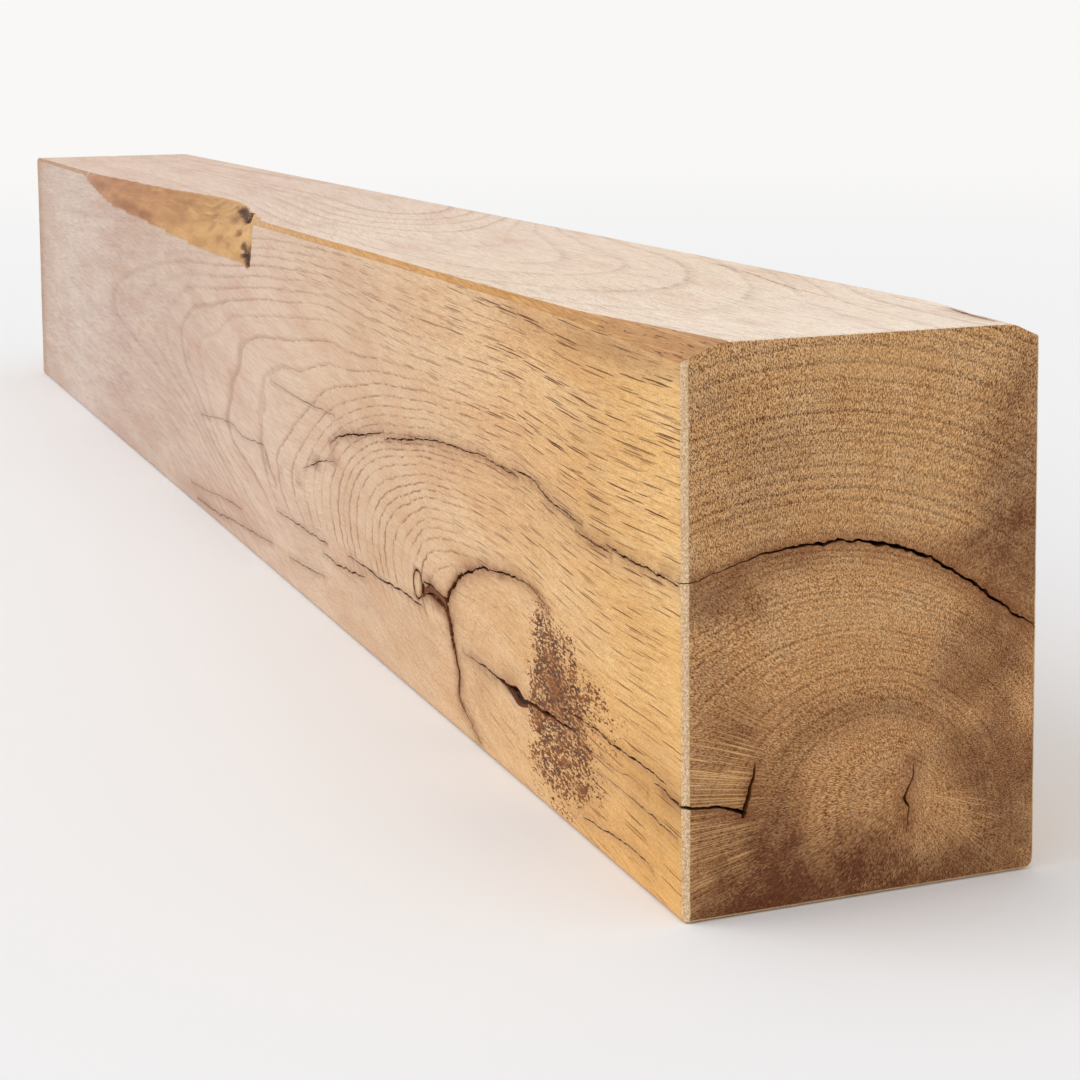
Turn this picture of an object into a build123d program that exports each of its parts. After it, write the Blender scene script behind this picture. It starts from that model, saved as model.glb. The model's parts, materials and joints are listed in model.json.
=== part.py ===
"""Oak mantel beam: one length of sawn and sanded oak, with the waney edge, shakes and knot of its log.

Millimetres. X runs along the beam, -Y is the front, +Y is the wall side, +Z is up.
The origin is at the middle of the bottom face. The near end is at +X, the far end at -X.
"""
from build123d import *
import math
import os

os.makedirs("parts", exist_ok=True)

# Sawn size
LENGTH = 1067.0
DEPTH = 105.0
HEIGHT = 150.0

# Sanded arrises
ARRIS = 1.2             # all arrises but one
NEAR_FRONT_ARRIS = 2.0  # the upright arris between the front and the near end

# Waney edge: the log's own round side, left along the top front arris
WANE_START = 200.0      # from the far end
WANE_LENGTH = 414.0
WANE_RUN = 21.0         # in from the front, on the top face
WANE_DROP = 22.0        # down from the top, on the front face

# The waney edge at points along it: share of its length, share of its run, share of its drop
WANE_FORM = [
    (0.00, 0.07, 0.07), (0.07, 0.10, 0.36), (0.15, 0.22, 0.55), (0.25, 0.32, 0.64),
    (0.37, 0.42, 0.75), (0.49, 0.64, 0.84), (0.61, 0.90, 0.93), (0.72, 1.00, 0.98),
    (0.80, 0.84, 1.00), (0.88, 0.58, 0.97), (0.95, 0.36, 0.91), (1.00, 0.24, 0.83),
]

# Facet on the top front arris, widest at the near end
FACET_LENGTH = 82.0
FACET_RUN = 12.5
FACET_DROP = 5.0

# Waney corner on the top back arris, widest at the near end
BACK_WANE_LENGTH = 60.0
BACK_WANE_RUN = 9.0
BACK_WANE_DROP = 4.0

# Share of the run and drop that is left where a facet fades into the arris
FACET_FADE = 0.12

# Cracks, point by point. The first value is the distance from the near end on the front face,
# or from the front on the end face. Then the distance down from the top, and the mouth's width.
SHAKE_ON_FRONT = [
    (0.0, 62.0, 0.6), (52.0, 62.5, 0.6), (82.0, 59.0, 0.8), (107.0, 55.5, 0.9), (152.0, 54.0, 1.0),
    (202.0, 57.0, 1.0), (252.0, 65.0, 1.0), (300.0, 71.5, 0.8), (322.0, 75.0, 0.5), (330.0, 79.5, 0.0),
]
SHAKE_ON_END = [
    (0.0, 61.0, 0.6), (12.0, 58.0, 0.6), (25.0, 54.5, 0.7), (45.0, 54.0, 1.0), (60.0, 57.0, 1.3),
    (73.0, 62.0, 1.5), (88.0, 71.0, 1.5), (105.0, 83.0, 1.3),
]
SHAKE_DEPTH = 14.0

KNOT_CHECK_UP = [
    (188.0, 111.5, 0.0), (182.0, 104.0, 1.8), (177.0, 99.0, 1.6), (167.0, 94.0, 1.6),
    (157.0, 91.0, 1.4), (137.0, 88.0, 1.1), (117.0, 86.5, 0.8), (99.0, 89.5, 0.0),
]
KNOT_CHECK_DOWN = [
    (189.0, 108.0, 0.0), (182.5, 117.0, 2.2), (177.0, 128.0, 1.8), (175.0, 136.0, 1.3),
    (167.0, 141.5, 1.0), (155.0, 146.0, 0.0),
]
KNOT_CHECK_LEFT = [(181.0, 111.0, 0.0), (187.0, 109.5, 2.6), (197.0, 109.5, 2.2), (214.0, 110.0, 0.8)]
KNOT_CHECK_DEPTH = 7.0

LOWER_CHECK_ON_FRONT = [
    (0.0, 119.0, 0.7), (12.0, 116.5, 0.6), (42.0, 117.0, 0.6), (67.0, 121.0, 0.7),
    (92.0, 122.0, 0.8), (112.0, 123.0, 1.2), (174.0, 122.0, 0.0),
]
LOWER_CHECK_INTO_END = [(0.0, 119.0, 0.7), (8.0, 120.0, 0.7), (17.6, 123.2, 0.9)]
LOWER_CHECK_UP_END = [(17.0, 123.8, 0.9), (19.0, 117.0, 1.0), (20.5, 111.0, 0.0)]
PITH_CHECK = [(67.0, 116.0, 0.0), (66.5, 120.0, 0.6), (64.5, 124.0, 0.9), (65.0, 128.0, 0.6), (64.5, 134.0, 0.0)]
SMALL_CHECK_DEPTH = 5.0

# Eye-shaped bark pocket beside the knot, on the front
POCKET_FROM_END = 124.0
POCKET_DOWN = 123.0
POCKET_LENGTH = 32.0
POCKET_WIDTH = 6.0
POCKET_DEPTH = 4.0

# Pin knot at the end of the knot check: a round groove about a small branch
PIN_KNOT_FROM_END = 220.0
PIN_KNOT_DOWN = 110.0
PIN_KNOT_RADIUS = 6.0
PIN_KNOT_GROOVE = 0.9
PIN_KNOT_DEPTH = 2.5

# Blind bores in the back, which slide over the rods in the wall
ROD_BORE_RADIUS = 7.0
ROD_BORE_LENGTH = 75.0
ROD_BORE_SPACING = 600.0
ROD_BORE_COUNT = 2

# How far a cut starts outside the wood
OVERRUN = 3.0

NEAR_X = LENGTH / 2
FAR_X = -LENGTH / 2
FRONT_Y = -DEPTH / 2
BACK_Y = DEPTH / 2

# Drawing planes at the near top front corner: x along the face, y down, z into the wood
ON_FRONT = Plane(origin=(NEAR_X, FRONT_Y, HEIGHT), x_dir=(1, 0, 0), z_dir=(0, 1, 0))
ON_END = Plane(origin=(NEAR_X, FRONT_Y, HEIGHT), x_dir=(0, 1, 0), z_dir=(-1, 0, 0))


def sawn_stock():
    """The square stock, with its arrises eased all round."""
    stock = Box(LENGTH, DEPTH, HEIGHT, align=(Align.CENTER, Align.CENTER, Align.MIN))
    stock = chamfer(stock.edges().filter_by(Axis.X), ARRIS)
    stock = chamfer(stock.edges().group_by(Axis.X)[0], ARRIS)
    return chamfer(stock.edges().group_by(Axis.X)[-1], ARRIS)


def near_front_arris():
    """What is sanded off the upright arris between the front and the near end."""
    reach = NEAR_FRONT_ARRIS + OVERRUN
    corner = [(-reach, -OVERRUN), (OVERRUN, -OVERRUN), (OVERRUN, reach)]
    section = Plane.XY * Pos(NEAR_X, FRONT_Y) * make_face(Polyline(*corner, close=True))
    return Pos(0, 0, -OVERRUN) * extrude(section, HEIGHT + 2 * OVERRUN)


def corner_section(x, run, drop, face_y, inwards):
    """Triangle across a top arris: its long side lies run in and drop down from the corner."""
    side = math.hypot(run, drop)
    over_run = OVERRUN * run / side
    over_drop = OVERRUN * drop / side
    corners = [(run + over_run, -over_drop), (-over_run, drop + over_drop), (-over_run, -over_drop)]
    points = [(x, face_y + inwards * inward, HEIGHT - down) for inward, down in corners]
    return make_face(Polyline(*points, close=True))


def waney_edge():
    """The wood missing from the top front arris, where the log's round side was."""
    sections = []
    for along, run, drop in WANE_FORM:
        x = FAR_X + WANE_START + WANE_LENGTH * along
        sections.append(corner_section(x, WANE_RUN * run, WANE_DROP * drop, FRONT_Y, 1))
    return loft(sections)


def facet(length, run, drop, face_y, inwards):
    """A flat on a top arris that fades out at its length from the near end."""
    fade = corner_section(NEAR_X - length, run * FACET_FADE, drop * FACET_FADE, face_y, inwards)
    full = corner_section(NEAR_X, run, drop, face_y, inwards)
    past = corner_section(NEAR_X + OVERRUN, run, drop, face_y, inwards)
    return loft([fade, full], ruled=True) + loft([full, past], ruled=True)


def crack(plane, route, depth):
    """A blade of air along a route drawn on a face, as wide at each point as the crack's mouth there."""
    centre = Spline(*[(x, y) for x, y, width in route])
    sides = [[], []]
    for x, y, width in route:
        across = centre.tangent_at(Vector(x, y)).rotate(Axis.Z, 90) * (width / 2)
        sides[0].append(Vector(x, y) + across)
        sides[1].append(Vector(x, y) - across)
    outline = [Spline(*sides[0]), Spline(*sides[1])]
    for end in (0, -1):
        if route[end][2] > 0:
            outline.append(Line(sides[0][end], sides[1][end]))
    return plane * extrude(make_face(outline), depth)


def from_near_end(route):
    """A route on the front face, with x growing towards the near end."""
    return [(-distance, down, width) for distance, down, width in route]


def run_out(route, end, step_x, step_y=0.0):
    """The route with one more point past the face, beyond its first or last point."""
    x, y, width = route[end]
    beyond = [(x + step_x, y + step_y, width)]
    return beyond + route if end == 0 else route + beyond


def ring_shake():
    """The shake between two rings: over the front from the near end, and right across the end."""
    on_front = crack(ON_FRONT, run_out(from_near_end(SHAKE_ON_FRONT), 0, OVERRUN), SHAKE_DEPTH)
    across = run_out(run_out(SHAKE_ON_END, 0, -OVERRUN, 1.0), -1, OVERRUN, 2.0)
    return on_front + crack(ON_END, across, SHAKE_DEPTH)


def knot_checks():
    """The three-armed check at the knot."""
    arms = [KNOT_CHECK_UP, KNOT_CHECK_DOWN, KNOT_CHECK_LEFT]
    return [crack(ON_FRONT, from_near_end(arm), KNOT_CHECK_DEPTH) for arm in arms]


def lower_checks():
    """The check from the bark pocket to the near end, its turn on the end, and the one at the pith."""
    return [
        crack(ON_FRONT, run_out(from_near_end(LOWER_CHECK_ON_FRONT), 0, OVERRUN), SMALL_CHECK_DEPTH),
        crack(ON_END, run_out(LOWER_CHECK_INTO_END, 0, -OVERRUN), SMALL_CHECK_DEPTH),
        crack(ON_END, LOWER_CHECK_UP_END, SMALL_CHECK_DEPTH),
        crack(ON_END, PITH_CHECK, SMALL_CHECK_DEPTH),
    ]


def bark_pocket():
    """The eye-shaped hollow that the bark pocket leaves."""
    half = POCKET_LENGTH / 2
    upper = ThreePointArc((-half, 0), (0, -POCKET_WIDTH / 2), (half, 0))
    lower = ThreePointArc((-half, 0), (0, POCKET_WIDTH / 2), (half, 0))
    eye = Pos(-POCKET_FROM_END, POCKET_DOWN) * make_face([upper, lower])
    return ON_FRONT * extrude(eye, POCKET_DEPTH)


def pin_knot_groove():
    """The round groove about the pin knot."""
    half = PIN_KNOT_GROOVE / 2
    ring = Circle(PIN_KNOT_RADIUS + half) - Circle(PIN_KNOT_RADIUS - half)
    return ON_FRONT * extrude(Pos(-PIN_KNOT_FROM_END, PIN_KNOT_DOWN) * ring, PIN_KNOT_DEPTH)


def rod_bores():
    """The blind bores in the back, spaced evenly about the middle at half height."""
    first = -ROD_BORE_SPACING * (ROD_BORE_COUNT - 1) / 2
    bores = []
    for index in range(ROD_BORE_COUNT):
        mouth = Plane(origin=(first + index * ROD_BORE_SPACING, BACK_Y, HEIGHT / 2), z_dir=(0, -1, 0))
        bores.append(mouth * extrude(Circle(ROD_BORE_RADIUS), ROD_BORE_LENGTH))
    return bores


def oak_beam():
    """The beam: the sawn stock less everything that the log and the maker took from it."""
    beam = sawn_stock() - near_front_arris() - waney_edge()
    beam -= facet(FACET_LENGTH, FACET_RUN, FACET_DROP, FRONT_Y, 1)
    beam -= facet(BACK_WANE_LENGTH, BACK_WANE_RUN, BACK_WANE_DROP, BACK_Y, -1)
    beam -= ring_shake()
    for cut in knot_checks() + lower_checks() + rod_bores():
        beam -= cut
    return beam - bark_pocket() - pin_knot_groove()


beam = oak_beam()
print("volume", round(beam.volume), "solids", len(beam.solids()), "valid", beam.is_valid)
export_step(beam, "parts/oak_beam.step")
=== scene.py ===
# %% [markdown]
# # An oak mantel beam
# One length of sawn oak, sanded and oiled. It still shows its log: a waney edge along the
# top, a shake that follows a growth ring, a knot with its checks, and open pores that show
# as dashes along the grain and as dots on the end. It could be a box with an image laid on
# it, but an image has no depth at a crack and stops making sense round a corner. So the wood
# here is solid: the rings are one field in space, and each face only cuts through it.

# %% The frame and the tools
import json
import math

import bmesh
import bpy
import numpy as np
from mathutils import Matrix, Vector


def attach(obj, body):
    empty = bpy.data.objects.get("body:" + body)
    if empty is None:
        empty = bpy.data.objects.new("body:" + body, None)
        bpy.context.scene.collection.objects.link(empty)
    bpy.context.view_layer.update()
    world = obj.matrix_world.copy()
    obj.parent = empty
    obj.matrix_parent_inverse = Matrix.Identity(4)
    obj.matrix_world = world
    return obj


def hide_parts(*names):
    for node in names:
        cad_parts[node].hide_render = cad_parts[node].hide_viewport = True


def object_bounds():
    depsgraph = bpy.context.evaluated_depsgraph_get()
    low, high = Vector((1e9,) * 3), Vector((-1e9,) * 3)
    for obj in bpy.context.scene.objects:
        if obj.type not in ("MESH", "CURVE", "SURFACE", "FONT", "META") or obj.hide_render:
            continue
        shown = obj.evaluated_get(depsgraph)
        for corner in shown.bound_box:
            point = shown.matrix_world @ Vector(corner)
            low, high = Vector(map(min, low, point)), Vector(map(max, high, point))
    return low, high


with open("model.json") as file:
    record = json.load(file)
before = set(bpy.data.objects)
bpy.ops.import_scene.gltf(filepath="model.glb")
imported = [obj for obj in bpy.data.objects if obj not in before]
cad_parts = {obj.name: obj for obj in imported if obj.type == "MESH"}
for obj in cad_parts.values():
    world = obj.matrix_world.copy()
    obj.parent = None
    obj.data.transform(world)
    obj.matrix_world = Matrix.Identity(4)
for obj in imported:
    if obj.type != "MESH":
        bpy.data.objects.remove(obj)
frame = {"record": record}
cad_low, cad_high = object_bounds()
MM = 0.001
LENGTH, DEPTH, HEIGHT = (round(side / MM, 2) for side in cad_high - cad_low)
SIZE = np.array([LENGTH, DEPTH, HEIGHT])
print("beam", LENGTH, "x", DEPTH, "x", HEIGHT, "mm")

# %% [markdown]
# ## Places on the beam
# A sawyer measures a beam from its ends and faces. So every place below is three distances
# in millimetres: along from the far end, in from the front, and down from the top. Only at
# the end are they turned into Blender's metres, by one function.

# %% From sawyer's distances to metres
def to_scene(places):
    """Metres: x is along less half the length, y is in less half the depth, z is the height less down."""
    along, inward, down = np.moveaxis(np.asarray(places, float), -1, 0)
    return np.stack([along - LENGTH / 2, inward - DEPTH / 2, HEIGHT - down], axis=-1) * MM


def to_places(points):
    """The way back: millimetres along, in and down of points in metres."""
    x, y, z = np.moveaxis(np.asarray(points, float) / MM, -1, 0)
    return np.stack([x + LENGTH / 2, y + DEPTH / 2, HEIGHT - z], axis=-1)


print("far top front corner at", to_scene([0, 0, 0]))

# %% [markdown]
# ## Curves and unevenness
# Wood has few straight lines and few exact curves. Two helpers make most of it: a smooth
# curve through a handful of given points, and a soft unevenness from random values
# on a lattice. Blender's own noise textures do the same in a material; here it moves points.

# %% A step, a curve through guide points, and unevenness
def ease(x):
    """0 below 0, 1 above 1, and 3 x^2 - 2 x^3 between."""
    x = np.clip(x, 0.0, 1.0)
    return x * x * (3 - 2 * x)


def through(guides, x, column=1):
    """A curve through guide points: cubic pieces whose slope at each point is the harmonic mean
    of the slopes beside it, or level at a turn, so the curve never swings past its guides."""
    at, value = np.array(guides, float)[:, [0, column]].T
    run = np.diff(at)
    chord = np.diff(value) / run
    before, after = chord[:-1], chord[1:]
    level = before * after <= 0
    product = np.where(level, 1.0, before * after)
    total = np.where(level, 1.0, before + after)
    slope = np.concatenate([chord[:1], np.where(level, 0.0, 2 * product / total), chord[-1:]])
    x = np.clip(x, at[0], at[-1])
    span = np.clip(np.searchsorted(at, x) - 1, 0, len(run) - 1)
    f = (x - at[span]) / run[span]
    ends = value[span] * (1 + 2 * f) * (1 - f) ** 2 + value[span + 1] * f * f * (3 - 2 * f)
    return ends + run[span] * f * (1 - f) * (slope[span] * (1 - f) - slope[span + 1] * f)


LATTICE = np.random.default_rng(7).uniform(-1, 1, (64, 64))


def uneven(a, b=0.0):
    """Soft unevenness from -1 to 1: random values at whole numbers, eased between them both ways."""
    a, b = np.broadcast_arrays(np.asarray(a, float), np.asarray(b, float))
    i, j = np.floor(a).astype(int), np.floor(b).astype(int)
    f, g = ease(a - i), ease(b - j)
    near = LATTICE[i % 64, j % 64] * (1 - f) + LATTICE[(i + 1) % 64, j % 64] * f
    far = LATTICE[i % 64, (j + 1) % 64] * (1 - f) + LATTICE[(i + 1) % 64, (j + 1) % 64] * f
    return near * (1 - g) + far * g


print("unevenness at four places", np.round(uneven([0.2, 1.5, 7.1, 30.9], 0.4), 2))

# %% [markdown]
# ## The camera
# The picture is taken from near one end, low and close, so the beam runs away steeply. The
# lens and the place come from where the beam's corners fall in the picture. The picture's
# optical centre is above its middle, which is a shift of the lens and not a tilt.

# %% The camera
def add_object(name, data):
    """A new object of the scene, at the origin and unturned."""
    made = bpy.data.objects.new(name, data)
    bpy.context.scene.collection.objects.link(made)
    return made


def stand(thing, right, up, back, place=(0, 0, 0)):
    """Turns and places a camera or a lamp: its three axes and its place are the columns of its matrix."""
    matrix = np.eye(4)
    matrix[:3] = np.column_stack([right, up, back, place])
    thing.matrix_world = Matrix(matrix.tolist())


PICTURE = 1080                       # pixels across the square picture
FOCAL_PIXELS = 2238.5
CENTRE_PIXEL_DOWN = 260              # the row of the optical centre
CAMERA_PLACE = np.array([1037.2, -283.8, 224.5]) * MM
TURN, TILT, ROLL = np.radians([68.978, 5.487, -0.543])
SENSOR = 36.0

forward = np.array([-math.sin(TURN) * math.cos(TILT), math.cos(TURN) * math.cos(TILT), -math.sin(TILT)])
level_right = np.array([math.cos(TURN), math.sin(TURN), 0.0])
level_up = np.cross(level_right, forward)
right = math.cos(ROLL) * level_right + math.sin(ROLL) * level_up
up = math.cos(ROLL) * level_up - math.sin(ROLL) * level_right

camera = add_object("camera", bpy.data.cameras.new("camera"))
bpy.context.scene.camera = camera
stand(camera, right, up, -forward, CAMERA_PLACE)
camera.data.sensor_width = SENSOR
camera.data.lens = FOCAL_PIXELS / PICTURE * SENSOR
camera.data.shift_y = (CENTRE_PIXEL_DOWN - PICTURE / 2) / PICTURE
camera.data.clip_start, camera.data.clip_end = 0.01, 200.0
print("lens", round(camera.data.lens, 1), "mm, shift", round(camera.data.shift_y, 4))

# %% [markdown]
# ## The block as one closed grid
# The sawn block is six flat faces. As one mesh it can be a box cut by three sets of lines:
# along, in and down. Points on a shared edge are the same point, so it is closed from the
# start. The lines lie close together where the log's round side, the arrises and the torn
# end of the waney edge need points, and far apart on the plain stretches.

# %% Grid lines
def lines(stops, steps):
    """Grid lines: each stretch between two stops is cut into its own number of equal steps."""
    stretches = [np.linspace(a, b, n, endpoint=False) for a, b, n in zip(stops, stops[1:], steps)]
    return np.concatenate(stretches + [[stops[-1]]])


# along the beam: where the waney edge starts and stops, and where the facet near the end starts
WANE_START, WANE_STOP, FACET_START = 194, 622, 985
ALONG = lines([0, 3, 190, 530, WANE_STOP, FACET_START, 1064, LENGTH], [4, 26, 104, 74, 112, 30, 4])
INWARD = lines([0, 3, 24, 93, 102, DEPTH], [4, 14, 19, 4, 4])
DOWN = lines([0, 3, 26, 147, HEIGHT], [4, 16, 39, 4])
print("lines", len(ALONG), len(INWARD), len(DOWN))

# %% The closed grid
def block_grid(*line_sets):
    """A box as one closed grid. Each face is the grid of two line sets at one end of the third.
    Corners get whole-number places, and equal places become one point."""
    last = [len(each) - 1 for each in line_sets]
    faces = []
    for axis in range(3):
        b, c = (axis + 1) % 3, (axis + 2) % 3
        rows, columns = np.meshgrid(np.arange(last[b]), np.arange(last[c]), indexing="ij")
        for end in (0, 1):
            corners = np.empty(rows.shape + (4, 3), int)
            corners[..., axis] = end * last[axis]
            corners[..., b] = rows[..., None] + [0, 1, 1, 0]
            corners[..., c] = columns[..., None] + [0, 0, 1, 1]
            faces.append(corners[:, :, ::-1].reshape(-1, 4, 3) if end else corners.reshape(-1, 4, 3))
    faces = np.concatenate(faces)
    steps, quads = np.unique(faces.reshape(-1, 3), axis=0, return_inverse=True)
    places = np.stack([line_set[steps[:, k]] for k, line_set in enumerate(line_sets)], axis=1)
    return places, quads.reshape(-1, 4)


block, quads = block_grid(ALONG, INWARD, DOWN)
print("points", len(block), "quads", len(quads))

# %% [markdown]
# ## Arrises, facets and the log's round side
# An arris is the sharp line where two faces meet. Each one here is sanded off by a flat, and
# each flat is a plane that cuts both faces. The waney edge is the same thing on a larger
# scale: its plane leans and widens along the beam. Points outside a plane are pushed back
# onto it, which is what a plane iron does to wood.

# %% What each flat takes off
ARRIS, NEAR_FRONT_ARRIS, NEAR_TOP_ARRIS = 1.2, 2.0, 0.5
# along, then how far in the cut reaches on the top, then how far down on the front
TOP_FRONT_CUT = [
    (0, 1.3, 1.3), (190, 1.3, 1.5), (200, 1.3, 2.6), (207, 1.4, 3.6), (230, 1.8, 6.4), (246, 2.6, 8.7),
    (269, 4.2, 11.5), (284, 5.2, 13), (300, 6.2, 14), (344, 8.5, 15.2), (400, 13, 16.8), (450, 19, 18.6),
    (500, 21, 19.8), (531, 18, 20.4), (562, 13, 20.6), (592, 8, 20), (606, 6, 19.4), (613, 5.2, 18.2),
    (617, 4.0, 12), (621, 2.2, 3), (626, 1.6, 1.5), (900, 1.7, 1.5), (985, 2.4, 1.9), (1010, 5.2, 2.7),
    (1040, 9, 4), (LENGTH, 12.5, 5),
]
# the same on the top and the back, and on the bottom and the back
TOP_BACK_CUT = [(0, 1.2, 1.2), (1000, 1.2, 1.2), (1020, 2.6, 1.4), (1045, 7, 3), (LENGTH, 9, 4)]
BOTTOM_BACK_CUT = [(0, 1.2, 1.2), (1035, 1.2, 1.2), (LENGTH, 3.4, 3.4)]


def reaches(cut, along):
    """How far a listed cut reaches on its first face and on its second."""
    return through(cut, along, 1), through(cut, along, 2)


def depth_in(places, axis, side):
    """How far places lie in from a face: axis 0, 1 or 2, side 0 for its first face and 1 for its last."""
    return places[:, axis] if side == 0 else SIZE[axis] - places[:, axis]


def flats(places):
    """The twelve flats as (axis, side, axis, side, reach on the second face, reach on the first)."""
    along, _, down = places.T
    torn = 0.08 * uneven(down / 4) + 0.05 * uneven(down / 1.7, 5)
    even_arrises = [(0, 1, 2, 1), (0, 0, 1, 0), (0, 0, 1, 1), (0, 0, 2, 0), (0, 0, 2, 1)]
    return [
        (1, 0, 2, 0, *reaches(TOP_FRONT_CUT, along)),
        (1, 1, 2, 0, *reaches(TOP_BACK_CUT, along)),
        (1, 1, 2, 1, *reaches(BOTTOM_BACK_CUT, along)),
        (1, 0, 2, 1, ARRIS, ARRIS),
        (0, 1, 1, 0, NEAR_FRONT_ARRIS + torn, NEAR_FRONT_ARRIS + torn),
        (0, 1, 1, 1, ARRIS + 0.5 * torn, ARRIS + 0.5 * torn),
        (0, 1, 2, 0, NEAR_TOP_ARRIS, NEAR_TOP_ARRIS),
        *((*faces, ARRIS, ARRIS) for faces in even_arrises),
    ]


def behind(places, flat):
    """How far behind a flat, a / reach a + b / reach b - 1 over the length of (1 / reach a, 1 / reach b),
    and the two parts of its direction, 1 / reach a and 1 / reach b over the same length."""
    axis_a, side_a, axis_b, side_b, reach_a, reach_b = flat
    steep = np.hypot(1 / reach_a, 1 / reach_b)
    a, b = depth_in(places, axis_a, side_a), depth_in(places, axis_b, side_b)
    return (a / reach_a + b / reach_b - 1) / steep, 1 / reach_a / steep, 1 / reach_b / steep


def sanded(places):
    """Every place that is outside a flat is pushed straight back onto it, twice over for the corners."""
    places = places.copy()
    for flat in flats(places) * 2:
        depth, lean_a, lean_b = behind(places, flat)
        push = np.maximum(-depth, 0)
        places[:, flat[0]] += push * lean_a * (1 if flat[1] == 0 else -1)
        places[:, flat[2]] += push * lean_b * (1 if flat[3] == 0 else -1)
    return places


def depth_below(places):
    """Depth below the sanded surface: the least depth in from any face or flat."""
    faces = [depth_in(places, axis, side) for axis in range(3) for side in (0, 1)]
    return np.minimum.reduce(faces + [behind(places, flat)[0] for flat in flats(places)])


beam_places = sanded(block)
print("furthest pushed point", round(float(np.linalg.norm(beam_places - block, axis=1).max()), 1), "mm")

# %% [markdown]
# ## The skin of the log
# Under the bark a log is smooth but never flat: it swells between its two sawn edges, has
# long ripples, and at the end of the waney edge scraps of bark sit in torn hollows. All of
# that is one push along the corner's slope, as a function of place. The sawn front is flat
# but for a swell of up to 0.2 mm, which only the light finds.

# %% Swell, ripples and hollows
# hollows on the waney edge: along, up the slope (0 at its front edge, 1 at its top edge),
# half length, half width and depth in mm, and how much dark bark is left in it
HOLLOWS = [
    (550, 0.90, 28, 2.6, 1.5, 1.0), (577, 0.86, 14, 3.2, 2.6, 1.0), (601, 0.21, 7, 3.0, 2.4, 1.0),
    (609, 0.06, 8, 2.8, 2.2, 1.0), (577, 0.52, 9, 1.2, 0.7, 0.35), (545, 0.72, 14, 1.2, 0.5, 0.15),
]


def waney_share(places, hollow=0.0):
    """1 on the log's round side, 0 elsewhere: the part of the top front flat that is wider than a sanded
    arris. A point in a hollow lies that much deeper and still counts."""
    along = places[:, 0]
    width = np.hypot(*reaches(TOP_FRONT_CUT, along))
    depth = behind(places, flats(places)[0])[0]
    inside = ease((along - WANE_START) / 8) * (along < WANE_STOP)
    return ease((width - 2.6) / 1.2) * inside * (depth < 0.6 + hollow)


def slope_share(places):
    """Place across the waney edge: 0 at its front edge and 1 at its top edge."""
    return np.clip(places[:, 1] / through(TOP_FRONT_CUT, places[:, 0], 1), 0, 1)


def hollow_share(places, reach=1.0):
    """The bark left in the hollows and their depth, each hollow being a soft ellipse: 0 past its rim. The
    share up the slope is (1 + inward / reach in - down / reach down) / 2, which goes on past both edges."""
    reach_in, reach_down = reaches(TOP_FRONT_CUT, places[:, 0])
    across = 0.5 * (1 + places[:, 1] / reach_in - places[:, 2] / reach_down)
    width = np.hypot(reach_in, reach_down)
    total, deepest = np.zeros(len(places)), np.zeros(len(places))
    for along, share, half_length, half_width, depth, bark in HOLLOWS:
        a = (places[:, 0] - along) / (half_length * reach)
        b = (across - share) * width / (half_width * reach)
        ragged = 0.25 * uneven(places[:, 0] / 3.1, across * 9)
        inside = ease((1.15 - np.hypot(a, b) + ragged) / 0.55)
        total = np.maximum(total, inside * bark)
        deepest = np.maximum(deepest, inside * depth)
    return total, deepest


def with_skin(places):
    """Push square to the corner's slope: swell 4 p (1 - p) between its edges, ripples, less the hollows."""
    along, inward, down = places.T
    wane = waney_share(places)
    p = slope_share(places)
    reach_in, reach_down = reaches(TOP_FRONT_CUT, along)
    width = np.hypot(reach_in, reach_down)
    edge = 4 * p * (1 - p)
    swell = 0.075 * width * edge
    ripple = 0.45 * uneven(along / 23, p * 3.1) + 0.22 * uneven(along / 7, p * 7.3 + 20)
    push = wane * (swell + ripple * ease(edge * 2)) - wane * hollow_share(places)[1]
    facet = ease((along - FACET_START) / 30) * (behind(places, flats(places)[0])[0] < 0.6)
    push += facet * (0.05 * width * edge + 0.12 * uneven(along / 9, p * 2.3 + 40) * ease(edge * 2))
    moved = places.copy()
    moved[:, 1] -= push * reach_down / width
    moved[:, 2] -= push * reach_in / width
    swell_front = 0.10 * (1 + uneven(along / 60, down / 35)) * (inward < 0.01)
    moved[:, 1] += swell_front * ease(down / 30) * ease((HEIGHT - down) / 12) * ease((LENGTH - along) / 12)
    return np.clip(moved, 0, SIZE)


beam_places = with_skin(beam_places)
print("points on the waney edge", int((waney_share(beam_places) > 0.5).sum()))

# %% [markdown]
# ## Putting arrays into Blender
# A mesh wants points and faces. Whole arrays go in at once, which is quick and keeps the
# shape's code apart from Blender's.

# %% From arrays to an object
def make_object(name, places, faces):
    """A mesh object at the origin from millimetre places and faces of any one size."""
    mesh = bpy.data.meshes.new(name)
    mesh.from_pydata(to_scene(places).tolist(), [], np.asarray(faces).tolist())
    mesh.update()
    return add_object(name, mesh)


beam = make_object("mantel_beam", beam_places, quads)
print(beam.name, len(beam.data.polygons), "quads")

# %% [markdown]
# ## Cracks
# Oak splits as it dries. The long shake runs between two rings and turns the corner onto the
# end. On the front its mouth opens and closes, so it is drawn in pieces that overlap. Three
# checks meet at the knot, and thin ones run with the grain below it. Each is air with ragged
# sides, so each is made as a solid of air and taken away from the beam. A crack's path is a
# short list of places: distance from the near end (or in from the front, on the end), distance
# down, and the width of its mouth.

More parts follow.
